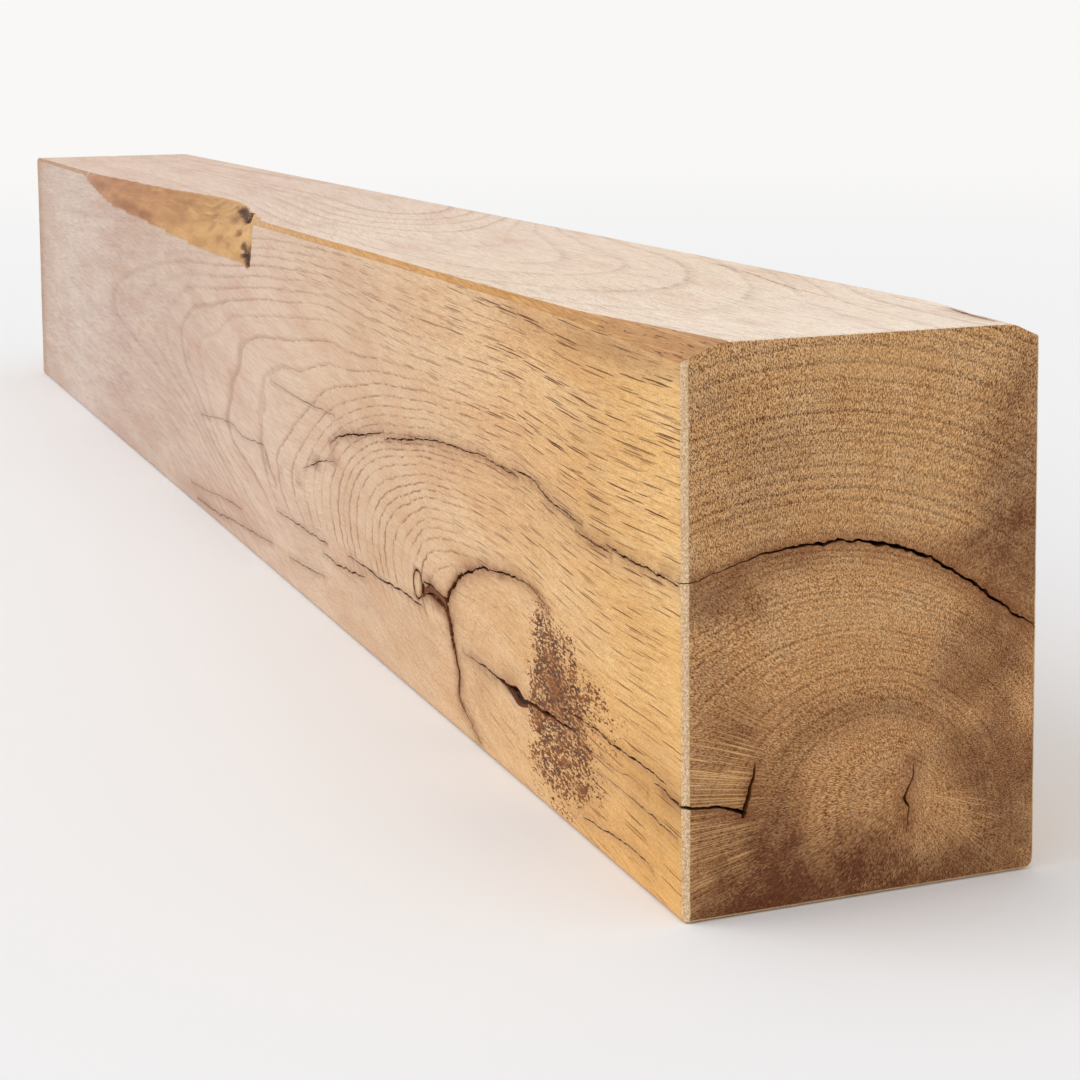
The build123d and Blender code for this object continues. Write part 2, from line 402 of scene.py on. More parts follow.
# %% The shake
SHAKE_ON_FRONT = [
    [(3, 62.2, 0.5), (20, 62, 0.6), (25, 61.9, 0.55), (36, 62, 0.65), (42, 61.9, 0.55), (50, 61.2, 0.3)],
    [(47, 63.2, 0.25), (53, 62.7, 0.44), (60, 62.7, 0.5), (65, 62.6, 0.42), (72, 61.8, 0.25)],
    [
        (68, 59.4, 0.25), (77, 58.4, 0.5), (84, 58, 0.45), (90, 57.6, 0.5), (94, 56.8, 0.65),
        (99, 55.2, 0.6), (106, 53.5, 0.5), (114, 53.2, 0.5), (123, 52.6, 0.3),
    ],
    [
        (118, 55.0, 0.3), (128, 54.5, 0.5), (139, 54.2, 0.45), (152, 53.5, 0.38), (161, 54.6, 0.38),
        (178, 55.4, 0.5), (195, 56.4, 0.4), (206, 57.6, 0.42), (221, 59.8, 0.48), (233, 61.9, 0.62),
        (249, 64.4, 0.58), (255, 65.4, 0.25),
    ],
    [
        (257, 63.3, 0.25), (270, 65.7, 0.4), (284, 68.3, 0.65), (297, 70.6, 0.7), (311, 73.1, 0.7),
        (320, 75.6, 0.5), (328, 79, 0.25),
    ],
]
SHAKE_ON_END = [
    (-3, 62, 0.5), (5, 60.2, 0.32), (12, 58.2, 0.3), (20, 55.8, 0.42), (30, 54.4, 0.65), (45, 54, 1.0),
    (60, 56.6, 1.15), (73, 61.7, 0.9), (88, 71.5, 0.9), (99, 79.2, 0.78), (104.5, 83.1, 0.35),
    (108, 85.6, 0.25),
]

# %% The knot's checks and the bark pocket's
KNOT_CHECK_UP = [
    (189.5, 110.5, 1.6), (185.5, 106.3, 2.4), (182.5, 103.7, 2.2), (178, 100.5, 1.7), (175.5, 98.4, 2.0),
    (170, 96.1, 1.25), (164, 93.7, 0.9), (158.5, 91.8, 0.7), (153, 90.1, 0.7), (147.5, 88.9, 0.8),
    (142.5, 88.5, 0.45), (137, 87.9, 0.6), (132, 87.3, 0.85), (127, 86.4, 0.7), (122, 86.2, 0.6),
    (117, 86.2, 0.4), (112, 86, 0.35), (107, 86.4, 0.25), (102.5, 87.3, 0.22), (98.5, 88.5, 0.2),
    (94, 91, 0.12),
]
KNOT_CHECK_DOWN = [
    (190, 108, 2.2), (187.6, 111.8, 4.0), (185.6, 113.6, 3.8), (183.4, 116, 3.4), (182.2, 118.8, 3.2),
    (181, 121.8, 2.8), (179, 124.7, 2.5), (177.5, 127.7, 2.2), (175.5, 130, 2.1), (175, 132.4, 1.6),
    (176.2, 136, 1.0), (174.3, 138.8, 0.8), (170, 141, 0.65), (166, 142.7, 0.5), (162, 144.3, 0.35),
    (158, 146, 0.25), (155, 147.4, 0.12),
]
KNOT_BAR = [(189, 110.2, 3.6), (196.5, 109.4, 3.2), (204, 108.8, 3.4), (210, 110, 4.6), (213.5, 110.6, 5.4)]
BAR_EDGES = [
    [(189, 108.4, 0.9), (196.5, 108.1, 1.0), (204, 107.4, 1.0), (212, 107.9, 0.6)],
    [(190.5, 111.8, 1.1), (196.5, 110.8, 1.0), (204, 110.3, 0.8), (213, 113.0, 0.6)],
]
POCKET_CHECK = [
    (171, 122.1, 0.15), (165, 121.9, 0.22), (160, 121.6, 0.32), (154, 121.6, 0.42), (147.5, 121.5, 0.6),
    (141, 121.8, 0.8), (134.5, 121.8, 1.1), (129, 122.2, 1.6), (123, 122.8, 2.0),
]
POCKET_CHECK_ON = [
    (117, 123.4, 1.6), (111.5, 122.6, 1.25), (103, 121.8, 1.2), (96, 121.4, 1.1), (91, 121.1, 1.05),
    (84, 120.9, 0.95), (79, 120.9, 0.8), (73, 120.8, 0.5), (69, 121, 0.2),
]

# %% Thin checks on the front, at the pith and on the top
THIN_CHECKS = [
    [
        (83, 116.1, 0.25), (75, 115.9, 0.5), (60, 115.3, 0.6), (46, 116.1, 0.68), (25, 115.9, 0.65),
        (11, 116.3, 0.4),
    ],
    [(19, 118.5, 0.3), (13.5, 118.1, 0.6), (7.5, 118.8, 0.8), (3, 118.9, 0.8)],
    [
        (70, 123.2, 0.15), (60, 122.5, 0.3), (53, 122.7, 0.3), (44, 122.6, 0.3), (33, 121.5, 0.25),
        (23, 122.1, 0.15),
    ],
    [
        (56, 127, 0.15), (46, 126.9, 0.3), (37, 127, 0.32), (28, 127.1, 0.4), (13, 128.1, 0.5),
        (4, 128.4, 0.45),
    ],
    [
        (68, 143.5, 0.4), (51, 142.2, 0.55), (42, 141.4, 0.5), (34, 141, 0.5), (26, 141.1, 0.5),
        (19, 142.4, 0.3),
    ],
    [
        (305, 118.3, 0.35), (282, 118.1, 0.75), (259, 117.9, 0.85), (240, 116.9, 0.95), (224, 116.9, 0.95),
        (213, 117, 0.3),
    ],
    [(341, 124.7, 0.35), (324, 125.2, 0.75), (303, 123.9, 0.85), (282, 122.2, 0.4)],
    [(414, 122.3, 0.3), (391, 121.5, 0.5), (369, 120.8, 0.55), (344, 120.4, 0.7), (334, 120.4, 0.4)],
    [(393, 137.7, 0.3), (365, 136.1, 0.5), (337, 134.1, 0.2)],
    [(570, 145.9, 0.5), (533, 145.2, 0.5), (497, 142.4, 0.5), (464, 140.6, 0.5), (421, 137.8, 0.25)],
    [(585, 140.7, 0.2), (539, 137.4, 0.38), (497, 134.3, 0.45), (477, 133.6, 0.3)],
    [(421, 66.8, 0.2), (382, 67.7, 0.4), (355, 67.6, 0.45), (320, 66.9, 0.3)],
    [
        (558, 102.2, 0.25), (493, 97.1, 0.3), (473, 99.5, 0.35), (436, 97.2, 0.4), (424, 105.7, 0.45),
        (413, 111.1, 0.3),
    ],
    [(368, 95.5, 0.25), (349, 90.2, 0.65), (340, 87.6, 0.55), (322, 85.1, 0.25)],
]
LOWER_CHECK_INTO_END = [(-3, 119, 0.95), (8, 119.8, 0.95), (17.8, 123.0, 1.05)]
LOWER_CHECK_UP_END = [(16.6, 124, 0.95), (18.3, 118.5, 1.3), (19.2, 115, 1.1), (20.6, 110, 0.35)]
PITH_CHECK = [
    (67, 115.5, 0.2), (66.6, 119, 0.5), (65.2, 122.4, 0.7), (64.2, 125, 0.8), (65.6, 127.6, 0.6),
    (64.8, 134, 0.2),
]
BACK_TOP_CHECKS = [
    [(6, 94.6, 0.5), (14, 95.2, 1.1), (26, 97.0, 1.0), (37, 99.4, 0.3)],
    [(70, 82, 0.2), (92, 83, 0.6), (122, 87, 0.7), (142, 91, 0.6), (167, 94, 0.5), (205, 99, 0.2)],
]

# %% Places drawn on a face
def on_front(a, down, depth):
    """A place drawn on the front: a from the near end, down, and depth into the wood."""
    return np.stack([LENGTH - a, depth + 0 * a, down], axis=-1)


def on_end(a, down, depth):
    """A place drawn on the near end: a in from the front, down, and depth into the wood."""
    return np.stack([LENGTH - depth + 0 * a, a, down], axis=-1)


def on_top(a, inward, depth):
    """A place drawn on the top: a from the near end, inward from the front, and depth into the wood."""
    return np.stack([LENGTH - a, inward, depth + 0 * a], axis=-1)


def along_route(route, step=1.0):
    """Stations along a route by its length: a, down, mouth width, and the unit direction across it."""
    route = np.array(route, float)
    walked = np.concatenate([[0], np.cumsum(np.hypot(*np.diff(route[:, :2], axis=0).T))])
    at = np.linspace(0, walked[-1], max(8, int(walked[-1] / step)))
    guides = np.column_stack([walked, route])
    a, down, width = (through(guides, at, column) for column in (1, 2, 3))
    heading = np.hypot(np.gradient(a), np.gradient(down))
    return at, a, down, width, -np.gradient(down) / heading, np.gradient(a) / heading


print("the shake on the end is", round(along_route(SHAKE_ON_END)[0][-1]), "mm long")

# %% A blade of air
def tube(rings):
    """Rings of equally many points joined one to the next, and the first and last closed: points, faces."""
    rings = np.asarray(rings)
    count, around = rings.shape[:2]
    ids = np.arange(count * around).reshape(count, around)
    turned = np.roll(ids, -1, axis=1)
    walls = np.stack([ids[:-1], turned[:-1], turned[1:], ids[1:]], axis=-1).reshape(-1, 4).tolist()
    return rings.reshape(-1, 3), walls + [ids[0].tolist(), ids[-1].tolist()]


def blade(face, route, depth, ragged=0.35, seed=0, floor_share=0.16, step=1.0):
    """Air with a six-sided section at each station: the mouth above the face, a rim just below it and
    the floor. The path wanders, the mouth widens and narrows unevenly, and a thin mouth is shallow:
    the depth goes with the width until that reaches 0.9 mm."""
    at, a, down, width, across_a, across_down = along_route(route, step)
    ragged = ragged * np.minimum(width / 0.5, 1)
    bends = [(1.0, 3.7, 0.0), (0.7, 1.5, 9.5), (0.5, 0.8, 2.2)]
    wander = sum(size * uneven(at / length, seed + more) for size, length, more in bends)
    half = 0.5 * width * (1 + 0.4 * uneven(at / 2.1, seed + 3.3) + 0.4 * uneven(at / 0.9, seed + 7.7))
    floor = depth * (0.8 + 0.2 * uneven(at / 9, seed + 6.1)) * np.clip(width / 0.9, 0.15, 1)
    rim = np.minimum(1.1, 0.5 * floor)
    sides = []
    for side, deep, share in [
        (-1, -1 + 0 * at, 1.15), (-1, rim, 0.75), (-1, floor, floor_share),
        (1, floor, floor_share), (1, rim, 0.75), (1, -1 + 0 * at, 1.15),
    ]:
        offset = ragged * wander + side * share * half
        sides.append(face(a + across_a * offset, down + across_down * offset, deep))
    return tube(np.stack(sides, axis=1))


def make_air(name, shells):
    """One object from closed shells that don't touch each other, with all faces turned outwards."""
    shell = bmesh.new()
    for points, faces in shells:
        corners = [shell.verts.new(place) for place in to_scene(points)]
        for face in faces:
            shell.faces.new([corners[each] for each in face])
    bmesh.ops.recalc_face_normals(shell, faces=shell.faces)
    mesh = bpy.data.meshes.new(name)
    shell.to_mesh(mesh)
    shell.free()
    return add_object(name, mesh)


print("a blade's points and faces:", [len(part) for part in blade(on_end, PITH_CHECK, 5)])

# %% [markdown]
# ## Pocket, pin knot and bores
# The bark pocket is an eye-shaped hollow with a ragged floor. The pin knot is a small branch
# cut across, with a groove round it. In the back are two blind bores that slide over rods in
# the wall. Each is again a solid of air: rings of points about an axis.

# %% Hollows about an axis
def turns(count):
    """Equal steps round a circle, as angles."""
    return np.linspace(0, 2 * np.pi, count, endpoint=False)


def bowl(face, centre, half_long, half_wide, depth, tilt, seed):
    """An eye-shaped bowl: rings shrink towards the floor, and each ring is long by half_long and
    wide by half_wide times (1 - |x|^1.5), turned by the tilt and made ragged round it."""
    angle = turns(48)
    rings = []
    for level, size in [(-1.0, 1.12), (0.4, 0.98), (0.45 * depth, 0.82), (0.8 * depth, 0.6), (depth, 0.3)]:
        rough = 1 + 0.18 * uneven(angle * 2.6, seed + level)
        x = half_long * np.cos(angle) * size * rough
        y = half_wide * np.sin(angle) * (1 - 0.6 * np.abs(np.cos(angle)) ** 1.5) * size * rough
        rings.append(face(centre[0] + x, centre[1] + y - tilt * x, level + 0 * x))
    return tube(rings)


def groove(face, centre, radius, width, depth):
    """A round groove: a ring-shaped solid whose square section is carried round a circle."""
    angle = turns(48)
    radius = radius * (1 + 0.05 * uneven(angle * 1.9, 3))
    rings = []
    for side, level in [(-0.5, -1.0), (0.5, -1.0), (0.4, depth), (-0.4, depth)]:
        reach = radius + side * width * (1 + 0.3 * uneven(angle * 5, 8))
        x, y = reach * np.cos(angle), reach * np.sin(angle)
        rings.append(face(centre[0] + x, centre[1] + y, level + 0 * angle))
    ids = np.arange(len(angle) * 4).reshape(-1, 4)
    ahead, turned = np.roll(ids, -1, axis=0), np.roll(ids, -1, axis=1)
    walls = np.stack([ids, turned, np.roll(turned, -1, axis=0), ahead], axis=-1).reshape(-1, 4)
    return np.stack(rings, axis=1).reshape(-1, 3), walls.tolist()


def bore(along, down, radius, depth):
    """A blind round hole in the back: circles at the mouth and the floor."""
    angle = turns(40)
    rings = []
    for level, reach in [(-1.0, radius), (depth - 2, radius), (depth, radius - 1.5)]:
        x, z = along + reach * np.cos(angle), down + reach * np.sin(angle)
        rings.append(np.stack([x, DEPTH - level + 0 * x, z], axis=-1))
    return tube(rings)


POCKET_CENTRE = (121.5, 123.0)
PIN_KNOT_CENTRE = (218.5, 110.0)
PIN_KNOT_RADIUS = 4.9
SHAKE_DEPTH, KNOT_DEPTH, CHECK_DEPTH, BORE_DEPTH = 14, 7, 5, 75
# how far apart and how wide the bores are comes from the record of the part
rod_bores = next(mount["dims"] for mount in frame["record"]["mounts"] if mount.get("name") == "rod_bores")
BORES_APART, BORE_RADIUS = rod_bores["spacing_x_mm"], rod_bores["hole_r_mm"]
print("bores", BORES_APART, "mm apart and", BORE_RADIUS, "mm in radius")

# %% Taking the air out of the beam
def carve(solid, cutters):
    """One exact Boolean difference after another, then the result is read back as the mesh."""
    for cutter in cutters:
        cut = solid.modifiers.new(cutter.name, "BOOLEAN")
        cut.operation, cut.solver, cut.object = "DIFFERENCE", "EXACT", cutter
    graph = bpy.context.evaluated_depsgraph_get()
    carved = bpy.data.meshes.new_from_object(solid.evaluated_get(graph))
    solid.modifiers.clear()
    solid.data = carved
    for cutter in cutters:
        bpy.data.objects.remove(cutter)


front_shake = [
    blade(on_front, piece, SHAKE_DEPTH, 0.35, 1 + 5 * k, step=0.6) for k, piece in enumerate(SHAKE_ON_FRONT)
]
# the thin checks near the end are deeper and finer drawn than the ones further along
thin_front = [
    blade(on_front, piece, 3, 0.3, 40 + 3 * k) if piece[0][0] < 100
    else blade(on_front, piece, 1.5, 0.45, 70 + 3 * k, floor_share=0.3, step=2.0)
    for k, piece in enumerate(THIN_CHECKS)
]
bores = [
    bore(LENGTH / 2 + side * BORES_APART / 2, HEIGHT / 2, BORE_RADIUS, BORE_DEPTH) for side in (-1, 1)
]
carve(beam, [
    make_air("air_one", front_shake + thin_front + [
        blade(on_front, KNOT_CHECK_UP, KNOT_DEPTH, 0.45, 3, step=0.6),
        blade(on_front, POCKET_CHECK_ON, CHECK_DEPTH, 0.4, 6, step=0.7),
        blade(on_end, LOWER_CHECK_UP_END, CHECK_DEPTH, 0.3, 9),
        blade(on_top, BACK_TOP_CHECKS[0], 3, 0.2, 11),
        blade(on_top, BACK_TOP_CHECKS[1], 2, 0.3, 14, step=2.0),
    ] + bores),
    make_air("air_two", [
        blade(on_end, SHAKE_ON_END, SHAKE_DEPTH, 0.4, 2, step=0.5),
        blade(on_front, KNOT_CHECK_DOWN, KNOT_DEPTH, 0.5, 4, step=0.6),
        blade(on_front, POCKET_CHECK, CHECK_DEPTH, 0.35, 7),
        blade(on_end, LOWER_CHECK_INTO_END, CHECK_DEPTH, 0.25, 8),
        blade(on_end, PITH_CHECK, CHECK_DEPTH, 0.25, 10),
        groove(on_front, PIN_KNOT_CENTRE, PIN_KNOT_RADIUS, 1.0, 1.3),
    ]),
    make_air("air_three", [
        blade(on_front, KNOT_BAR, 0.8, 0.15, 5, floor_share=0.7),
        bowl(on_front, POCKET_CENTRE, 9.5, 2.9, 2.8, 0.08, 12),
    ]),
    make_air("air_four", [blade(on_front, edge, 4, 0.25, 20 + 4 * k) for k, edge in enumerate(BAR_EDGES)]),
])
print("after carving", len(beam.data.vertices), "points", len(beam.data.polygons), "faces")

# %% Mending the mesh after the cuts
def mend(mesh):
    """Joins points within 5 thousandths of a millimetre, splits faces of many corners into triangles,
    fills a hairline hole, and drops pairs of faces that lie on the same three corners. Returns the
    number of edges that don't have two faces."""
    shell = bmesh.new()
    shell.from_mesh(mesh)
    bmesh.ops.remove_doubles(shell, verts=shell.verts, dist=0.005 * MM)
    bmesh.ops.triangulate(shell, faces=[face for face in shell.faces if len(face.verts) > 4])
    bmesh.ops.holes_fill(shell, edges=[edge for edge in shell.edges if len(edge.link_faces) == 1], sides=0)
    on_corners = {}
    for face in shell.faces:
        on_corners.setdefault(frozenset(face.verts), []).append(face)
    folded = [face for pair in on_corners.values() if len(pair) > 1 for face in pair]
    bmesh.ops.delete(shell, geom=folded, context="FACES")
    left = sum(len(edge.link_faces) != 2 for edge in shell.edges)
    shell.to_mesh(mesh)
    shell.free()
    return left


print("edges without two faces", mend(beam.data), "and faces", len(beam.data.polygons))

# %% [markdown]
# ## The growth rings
# A tree is a stack of cones, one a year, bent round its branches. Cut square at the near
# end, the rings are circles whose centre drifts, because the log grew unevenly. Along the
# beam the log leans out of the front face and past the knot, so the rings reach the front as
# nested loops. The near end's circles are kept as they are, and each place along the beam
# asks: which place on the near end was this wood, before the log leant? The shifts are
# smooth curves through guide points read from the wood.

# %% The rings at the near end
PITH = np.array([65.0, 123.0])          # in and down, at the near end
DRIFT = np.array([-0.312, 0.258])       # how the rings' centre moves for each mm of radius
SHAKE_RING = 93.0                       # radius of the ring that the shake follows
CREST = PITH + DRIFT * SHAKE_RING       # the centre of every ring past it
RING_PITCH, OUTER_PITCH = 2.4, 3.1      # from ring to ring inside the shake's ring and past it


def ring_at_end(inward, down):
    """Radius of the ring through a place: |q - PITH - DRIFT r| = r, a quadratic in r, up to the
    shake's ring, and the distance from the crest's centre past it. Also the direction outwards."""
    a, b = inward - PITH[0], down - PITH[1]
    dot = DRIFT[0] * a + DRIFT[1] * b
    rest = 1 - DRIFT @ DRIFT
    inner = (-dot + np.sqrt(dot ** 2 + rest * (a ** 2 + b ** 2))) / rest
    outer = np.hypot(inward - CREST[0], down - CREST[1])
    radius = np.where(inner < SHAKE_RING, inner, outer)
    centred = np.minimum(radius, SHAKE_RING)
    out_a, out_b = a - DRIFT[0] * centred, b - DRIFT[1] * centred
    length = np.maximum(np.hypot(out_a, out_b), 1e-6)
    return radius, out_a / length, out_b / length


print("radius at the top front corner", round(float(ring_at_end(0.0, 0.0)[0]), 1), "mm")

# %% How the log leans along the beam
# along; shift in, low on the front; shift in, at the top; how far down the loops' tips lie; how far down
# that wood is at the near end; how fast the rings close up about the tip; how far down the wood of the
# top face is there; the share of the way down to the tip over which one shift turns into the other
LEAN = [
    (0, 96, 90, 66, 147, 1.70, 40, 1.0), (250, 92, 80, 70, 147, 1.70, 36, 1.0),
    (405, 87, 70, 72, 147, 1.65, 33, 1.0), (480, 83, 62, 77, 147, 1.60, 31, 1.0),
    (580, 76, 48, 92, 147, 1.50, 29.5, 0.98), (632, 73, 38, 99, 147, 1.45, 27, 0.95),
    (690, 67, 26, 103, 147, 1.45, 22, 0.85), (737, 57, 18, 101, 147, 1.50, 19, 0.72),
    (772, 45, 13, 102, 144.5, 1.58, 18, 0.62), (796, 36, 11, 103, 142.9, 1.62, 17, 0.58),
    (840, 20, 9, 107, 139.5, 1.60, 15.5, 0.55), (865, 11, 8, 109, 138.2, 1.57, 14.5, 0.55),
    (915, 4.5, 6.5, 112, 137, 1.42, 10.5, 0.55), (955, 2.6, 3, 120, 136.5, 1.20, 7, 0.55),
    (1000, 1, 0, 128, 136, 1.19, 3, 0.55), (LENGTH, 0, 4, 136, 136, 1.00, 0, 0.55),
]


def wood_place(places):
    """Where on the near end this wood was: down is bent by a parabola above the loops' tips and
    a straight line below them, and in is shifted by an eased blend from the top to the tips."""
    along, inward, down = np.asarray(places, float).T
    low, top, tip, tip_was, close, top_was, spread = (through(LEAN, along, which) for which in range(1, 8))
    bend = (top_was - tip_was + close * tip) / tip ** 2
    from_tip = down - tip
    was_down = tip_was + close * from_tip + np.where(from_tip < 0, bend * from_tip ** 2, 0)
    shift = top + (low - top) * ease(down / (spread * tip))
    return inward - shift, was_down


print("the knot's wood was at", [round(float(v[0]), 1) for v in wood_place([[940, 0, 112]])])

# %% [markdown]
# ## What the eye picks out
# Stains, the torn bark and the patch of dark flecks follow no rule, so they are placed one by
# one as soft ellipses. The brown beside a crack follows the crack's path. All of them are
# stored on the points as plain numbers, and the material turns those numbers into colour.

# %% Soft marks
def soft_spot(a, b, spot, ragged=0.0):
    """1 in the middle of an ellipse and 0 at its rim, with an uneven rim."""
    centre_a, centre_b, half_a, half_b = spot[:4]
    away = np.hypot((a - centre_a) / half_a, (b - centre_b) / half_b)
    return ease(1.2 - away + ragged * uneven(a / 5.3, b / 4.1))


def spots_on(where, a, b, spots, ragged=0.15):
    """The sum of each spot's strength, its fifth number, where the mask holds."""
    return where * sum(spot[4] * soft_spot(a, b, spot, ragged) for spot in spots)


# end: in, down, half width, half height, and how much darker, or lighter where it is below 0
END_STAINS = [
    (46, 146, 38, 15, 0.56), (13, 147, 22, 13, 0.44), (88, 147, 30, 11, 0.30), (97, 121, 17, 28, 0.44),
    (87, 93, 19, 10, 0.34), (97, 67, 18, 24, 0.40), (80, 60, 13, 7, 0.26), (97, 38, 18, 26, 0.30),
    (11, 66, 17, 10, 0.34), (28, 57, 16, 6, 0.24), (24, 30, 16, 12, 0.14), (10, 15, 12, 8, 0.10),
    (101, 13, 8, 12, 0.20), (27, 131, 10, 20, 0.42), (9, 94, 13, 20, 0.16), (84, 82, 14, 7, 0.20),
    (30, 100, 26, 8, 0.12), (52, 133, 26, 8, 0.18), (66, 98, 20, 6, 0.10), (20, 45, 18, 7, 0.10),
    (54, 118, 36, 24, 0.10), (12, 130, 16, 9, 0.20), (80, 115, 8, 13, 0.24),
    (9, 113, 11, 7, -0.14), (62, 36, 34, 24, -0.06), (50, 74, 30, 13, -0.08), (70, 121, 6, 6, -0.14),
    (101, 106, 6, 9, -0.22), (46, 112, 16, 8, -0.08), (58, 8, 34, 7, -0.12), (62, 134, 10, 5, -0.10),
]
# front: along, down, half length, half height, and how much darker
FRONT_STAINS = [
    (1004, 60, 30, 3.0, 0.12), (975, 55, 16, 2.4, 0.10), (718, 90, 9, 3.4, 0.34), (744, 84, 10, 3, 0.22),
    (1005, 22, 40, 20, 0.04), (976, 112, 15, 13, 0.22), (1048, 122, 24, 22, 0.12),
    (1000, 132, 24, 12, 0.10), (1000, 7, 90, 9, 0.14), (985, 114, 30, 26, 0.07), (871, 110.5, 11, 3.4, 0.5),
    (700, 125, 30, 16, 0.08), (915, 125, 14, 12, 0.12), (40, 75, 32, 20, 0.07), (300, 75, 42, 22, 0.045),
    (850, 128, 26, 12, 0.05), (780, 128, 26, 12, 0.05), (930, 4, 60, 5, 0.06), (856, 111, 6, 3, 0.30),
    (884, 114, 12, 9, 0.14), (636, 103, 6, 5, 0.16), (662, 103, 5, 4, 0.16), (690, 103, 8, 3, 0.26),
    (905, 91, 22, 4, 0.12), (566, 90, 5, 12, 0.06), (480, 77, 12, 4, 0.12), (405, 72, 14, 4, 0.12),
    (1030, 7, 46, 5, 0.14), (941, 119, 14, 5, 0.22), (893, 132, 7, 14, 0.12), (8, 75, 10, 90, 0.12),
    (980, 111, 11, 7, 0.24), (1008, 40, 14, 20, 0.06), (1038, 70, 12, 24, 0.05), (985, 60, 60, 16, 0.04),
    (860, 60, 40, 4, 0.06), (500, 144, 90, 5, 0.10), (610, 138, 60, 4, 0.08),
]
# waney edge: the same, and lighter where it is below 0
WANE_STAINS = [
    (325, 12.5, 50, 3.6, 0.30), (378, 14, 24, 3, 0.34), (250, 6, 26, 3, 0.16), (440, 12, 30, 5, 0.12),
    (488, 3.1, 8, 3, 0.26), (503, 7.1, 7, 3.2, 0.20), (515, 11, 8, 3, 0.18), (545, 14.4, 10, 2.4, 0.22),
    (566, 15.4, 9, 2, 0.26), (577, 9.6, 9, 1.8, 0.42), (550, 5, 16, 2.6, 0.24), (596, 15, 5, 3, 0.24),
    (560, 10.5, 10, 3, -0.10), (598, 8, 8, 3, -0.24), (604, 11, 5, 2, -0.30), (530, 7, 14, 3, -0.10),
    (340, 5, 40, 3, 0.10), (290, 9, 14, 2, 0.22), (420, 6, 20, 3, 0.10),
]
places = to_places([vertex.co for vertex in beam.data.vertices])
along, inward, down = places.T
deep = depth_below(places)
# a point this close to a face, in mm, counts as on it
AT_FACE = 1.2
on_near_end = (LENGTH - along < AT_FACE) * (deep < 1.5)
on_front_face = (inward < AT_FACE) * (1 - on_near_end)

stain = spots_on(on_near_end, inward, down, END_STAINS)
stain += spots_on(on_front_face, along, down, FRONT_STAINS)
print("stain from", round(float(stain.min()), 2), "to", round(float(stain.max()), 2))

# %% Flecks, knot and the brown beside each crack
FLECKS = [
    (970, 101, 16, 13, 0.8), (970, 113, 19, 17, 1.1), (986, 109, 26, 14, 0.9), (968, 128, 16, 16, 1.0),
    (986, 125, 24, 14, 0.75), (980, 139, 20, 10, 0.8), (1006, 112, 26, 14, 0.45), (1002, 131, 18, 10, 0.45),
    (967, 92, 10, 6, 0.5), (984, 96, 16, 6, 0.4),
]
flecks = np.clip(spots_on(on_front_face, along, down, FLECKS, 0.3), 0, 1)
flecks *= ease((along - 952 + 3 * uneven(down / 3.5)) / 5)


def beside(routes, face_mask, a, b, reach):
    """1 at a crack and fading with the distance to the nearest of its stations, as exp(-d / reach)."""
    nearest = np.full(len(places), 1e3)
    picked = np.flatnonzero(face_mask)
    for route in routes:
        _, route_a, route_down, width, _, _ = along_route(route, 2.0)
        away = np.hypot(a[picked, None] - route_a, b[picked, None] - route_down) - width / 2
        nearest[picked] = np.minimum(nearest[picked], away.min(axis=1))
    return np.exp(-np.maximum(nearest, 0) / reach)


from_near_end = LENGTH - along
by_front = inward < 16, from_near_end, down
by_end = from_near_end < 16, inward, down
by_top = (down < 6) * (from_near_end < 50), from_near_end, inward
# strength, reach in mm, the routes, and where they are and how their face is measured
BROWN_EDGES = [
    (0.85, 1.1, SHAKE_ON_FRONT, by_front),
    (0.25, 3.0, SHAKE_ON_FRONT, by_front),
    (1.0, 1.5, [KNOT_CHECK_UP, KNOT_CHECK_DOWN, *BAR_EDGES], by_front),
    (0.7, 1.2, [POCKET_CHECK, POCKET_CHECK_ON], by_front),
    (0.4, 0.9, THIN_CHECKS, by_front),
    (0.75, 2.2, [SHAKE_ON_END, LOWER_CHECK_INTO_END, LOWER_CHECK_UP_END, PITH_CHECK], by_end),
    (0.7, 1.2, BACK_TOP_CHECKS[:1], by_top),
]
halo = np.maximum.reduce([
    strength * beside(routes, *by, reach) for strength, reach, routes, by in BROWN_EDGES
])
off_axis = np.hypot(from_near_end - PIN_KNOT_CENTRE[0], down - PIN_KNOT_CENTRE[1])
halo = np.maximum(halo, 0.8 * ease(1.4 - np.abs(off_axis - PIN_KNOT_RADIUS)) * on_front_face)
torn, hollow_depth = hollow_share(places, 1.05)
wane = waney_share(places, hollow_depth) * (down < 30) * (inward < 30)
torn *= wane > 0
stain = stain * (wane < 0.5) + spots_on(wane > 0.5, along, down, WANE_STAINS)
# 1 on the sanded top front arris and its facet, and down to 0 at 4 mm behind their plane
eased = np.clip(1 - behind(places, flats(places)[0])[0] / 4, 0, 1)
eased *= (wane < 0.5) * (inward < 14) * (down < 8)
print("points with flecks", int((flecks > 0.3).sum()), "beside cracks", int((halo > 0.3).sum()))

# %% The ring numbers
# places on the front, along and down, where the tip of a strong ring lies
STRONG_TIPS = [
    (796, 103), (763, 102), (737, 101), (705, 103), (665, 102), (632, 99), (580, 92), (562, 90),
    (480, 77), (405, 72), (300, 71), (850, 107),
]
# the knot on the front: along, down, half length and half height, with rings this far apart
KNOT, KNOT_PITCH = (952.0, 118.0, 73.0, 32.5), 4.2


def ring_number(radius):
    """Rings since the pith: the radius over each ring pitch in turn, with good and poor years between."""
    inner, outer = np.minimum(radius, SHAKE_RING), np.maximum(radius - SHAKE_RING, 0)
    years = 0.75 * uneven(radius / 15, 11) + 0.32 * uneven(radius / 5.6, 2)
    return inner / RING_PITCH + outer / OUTER_PITCH + years


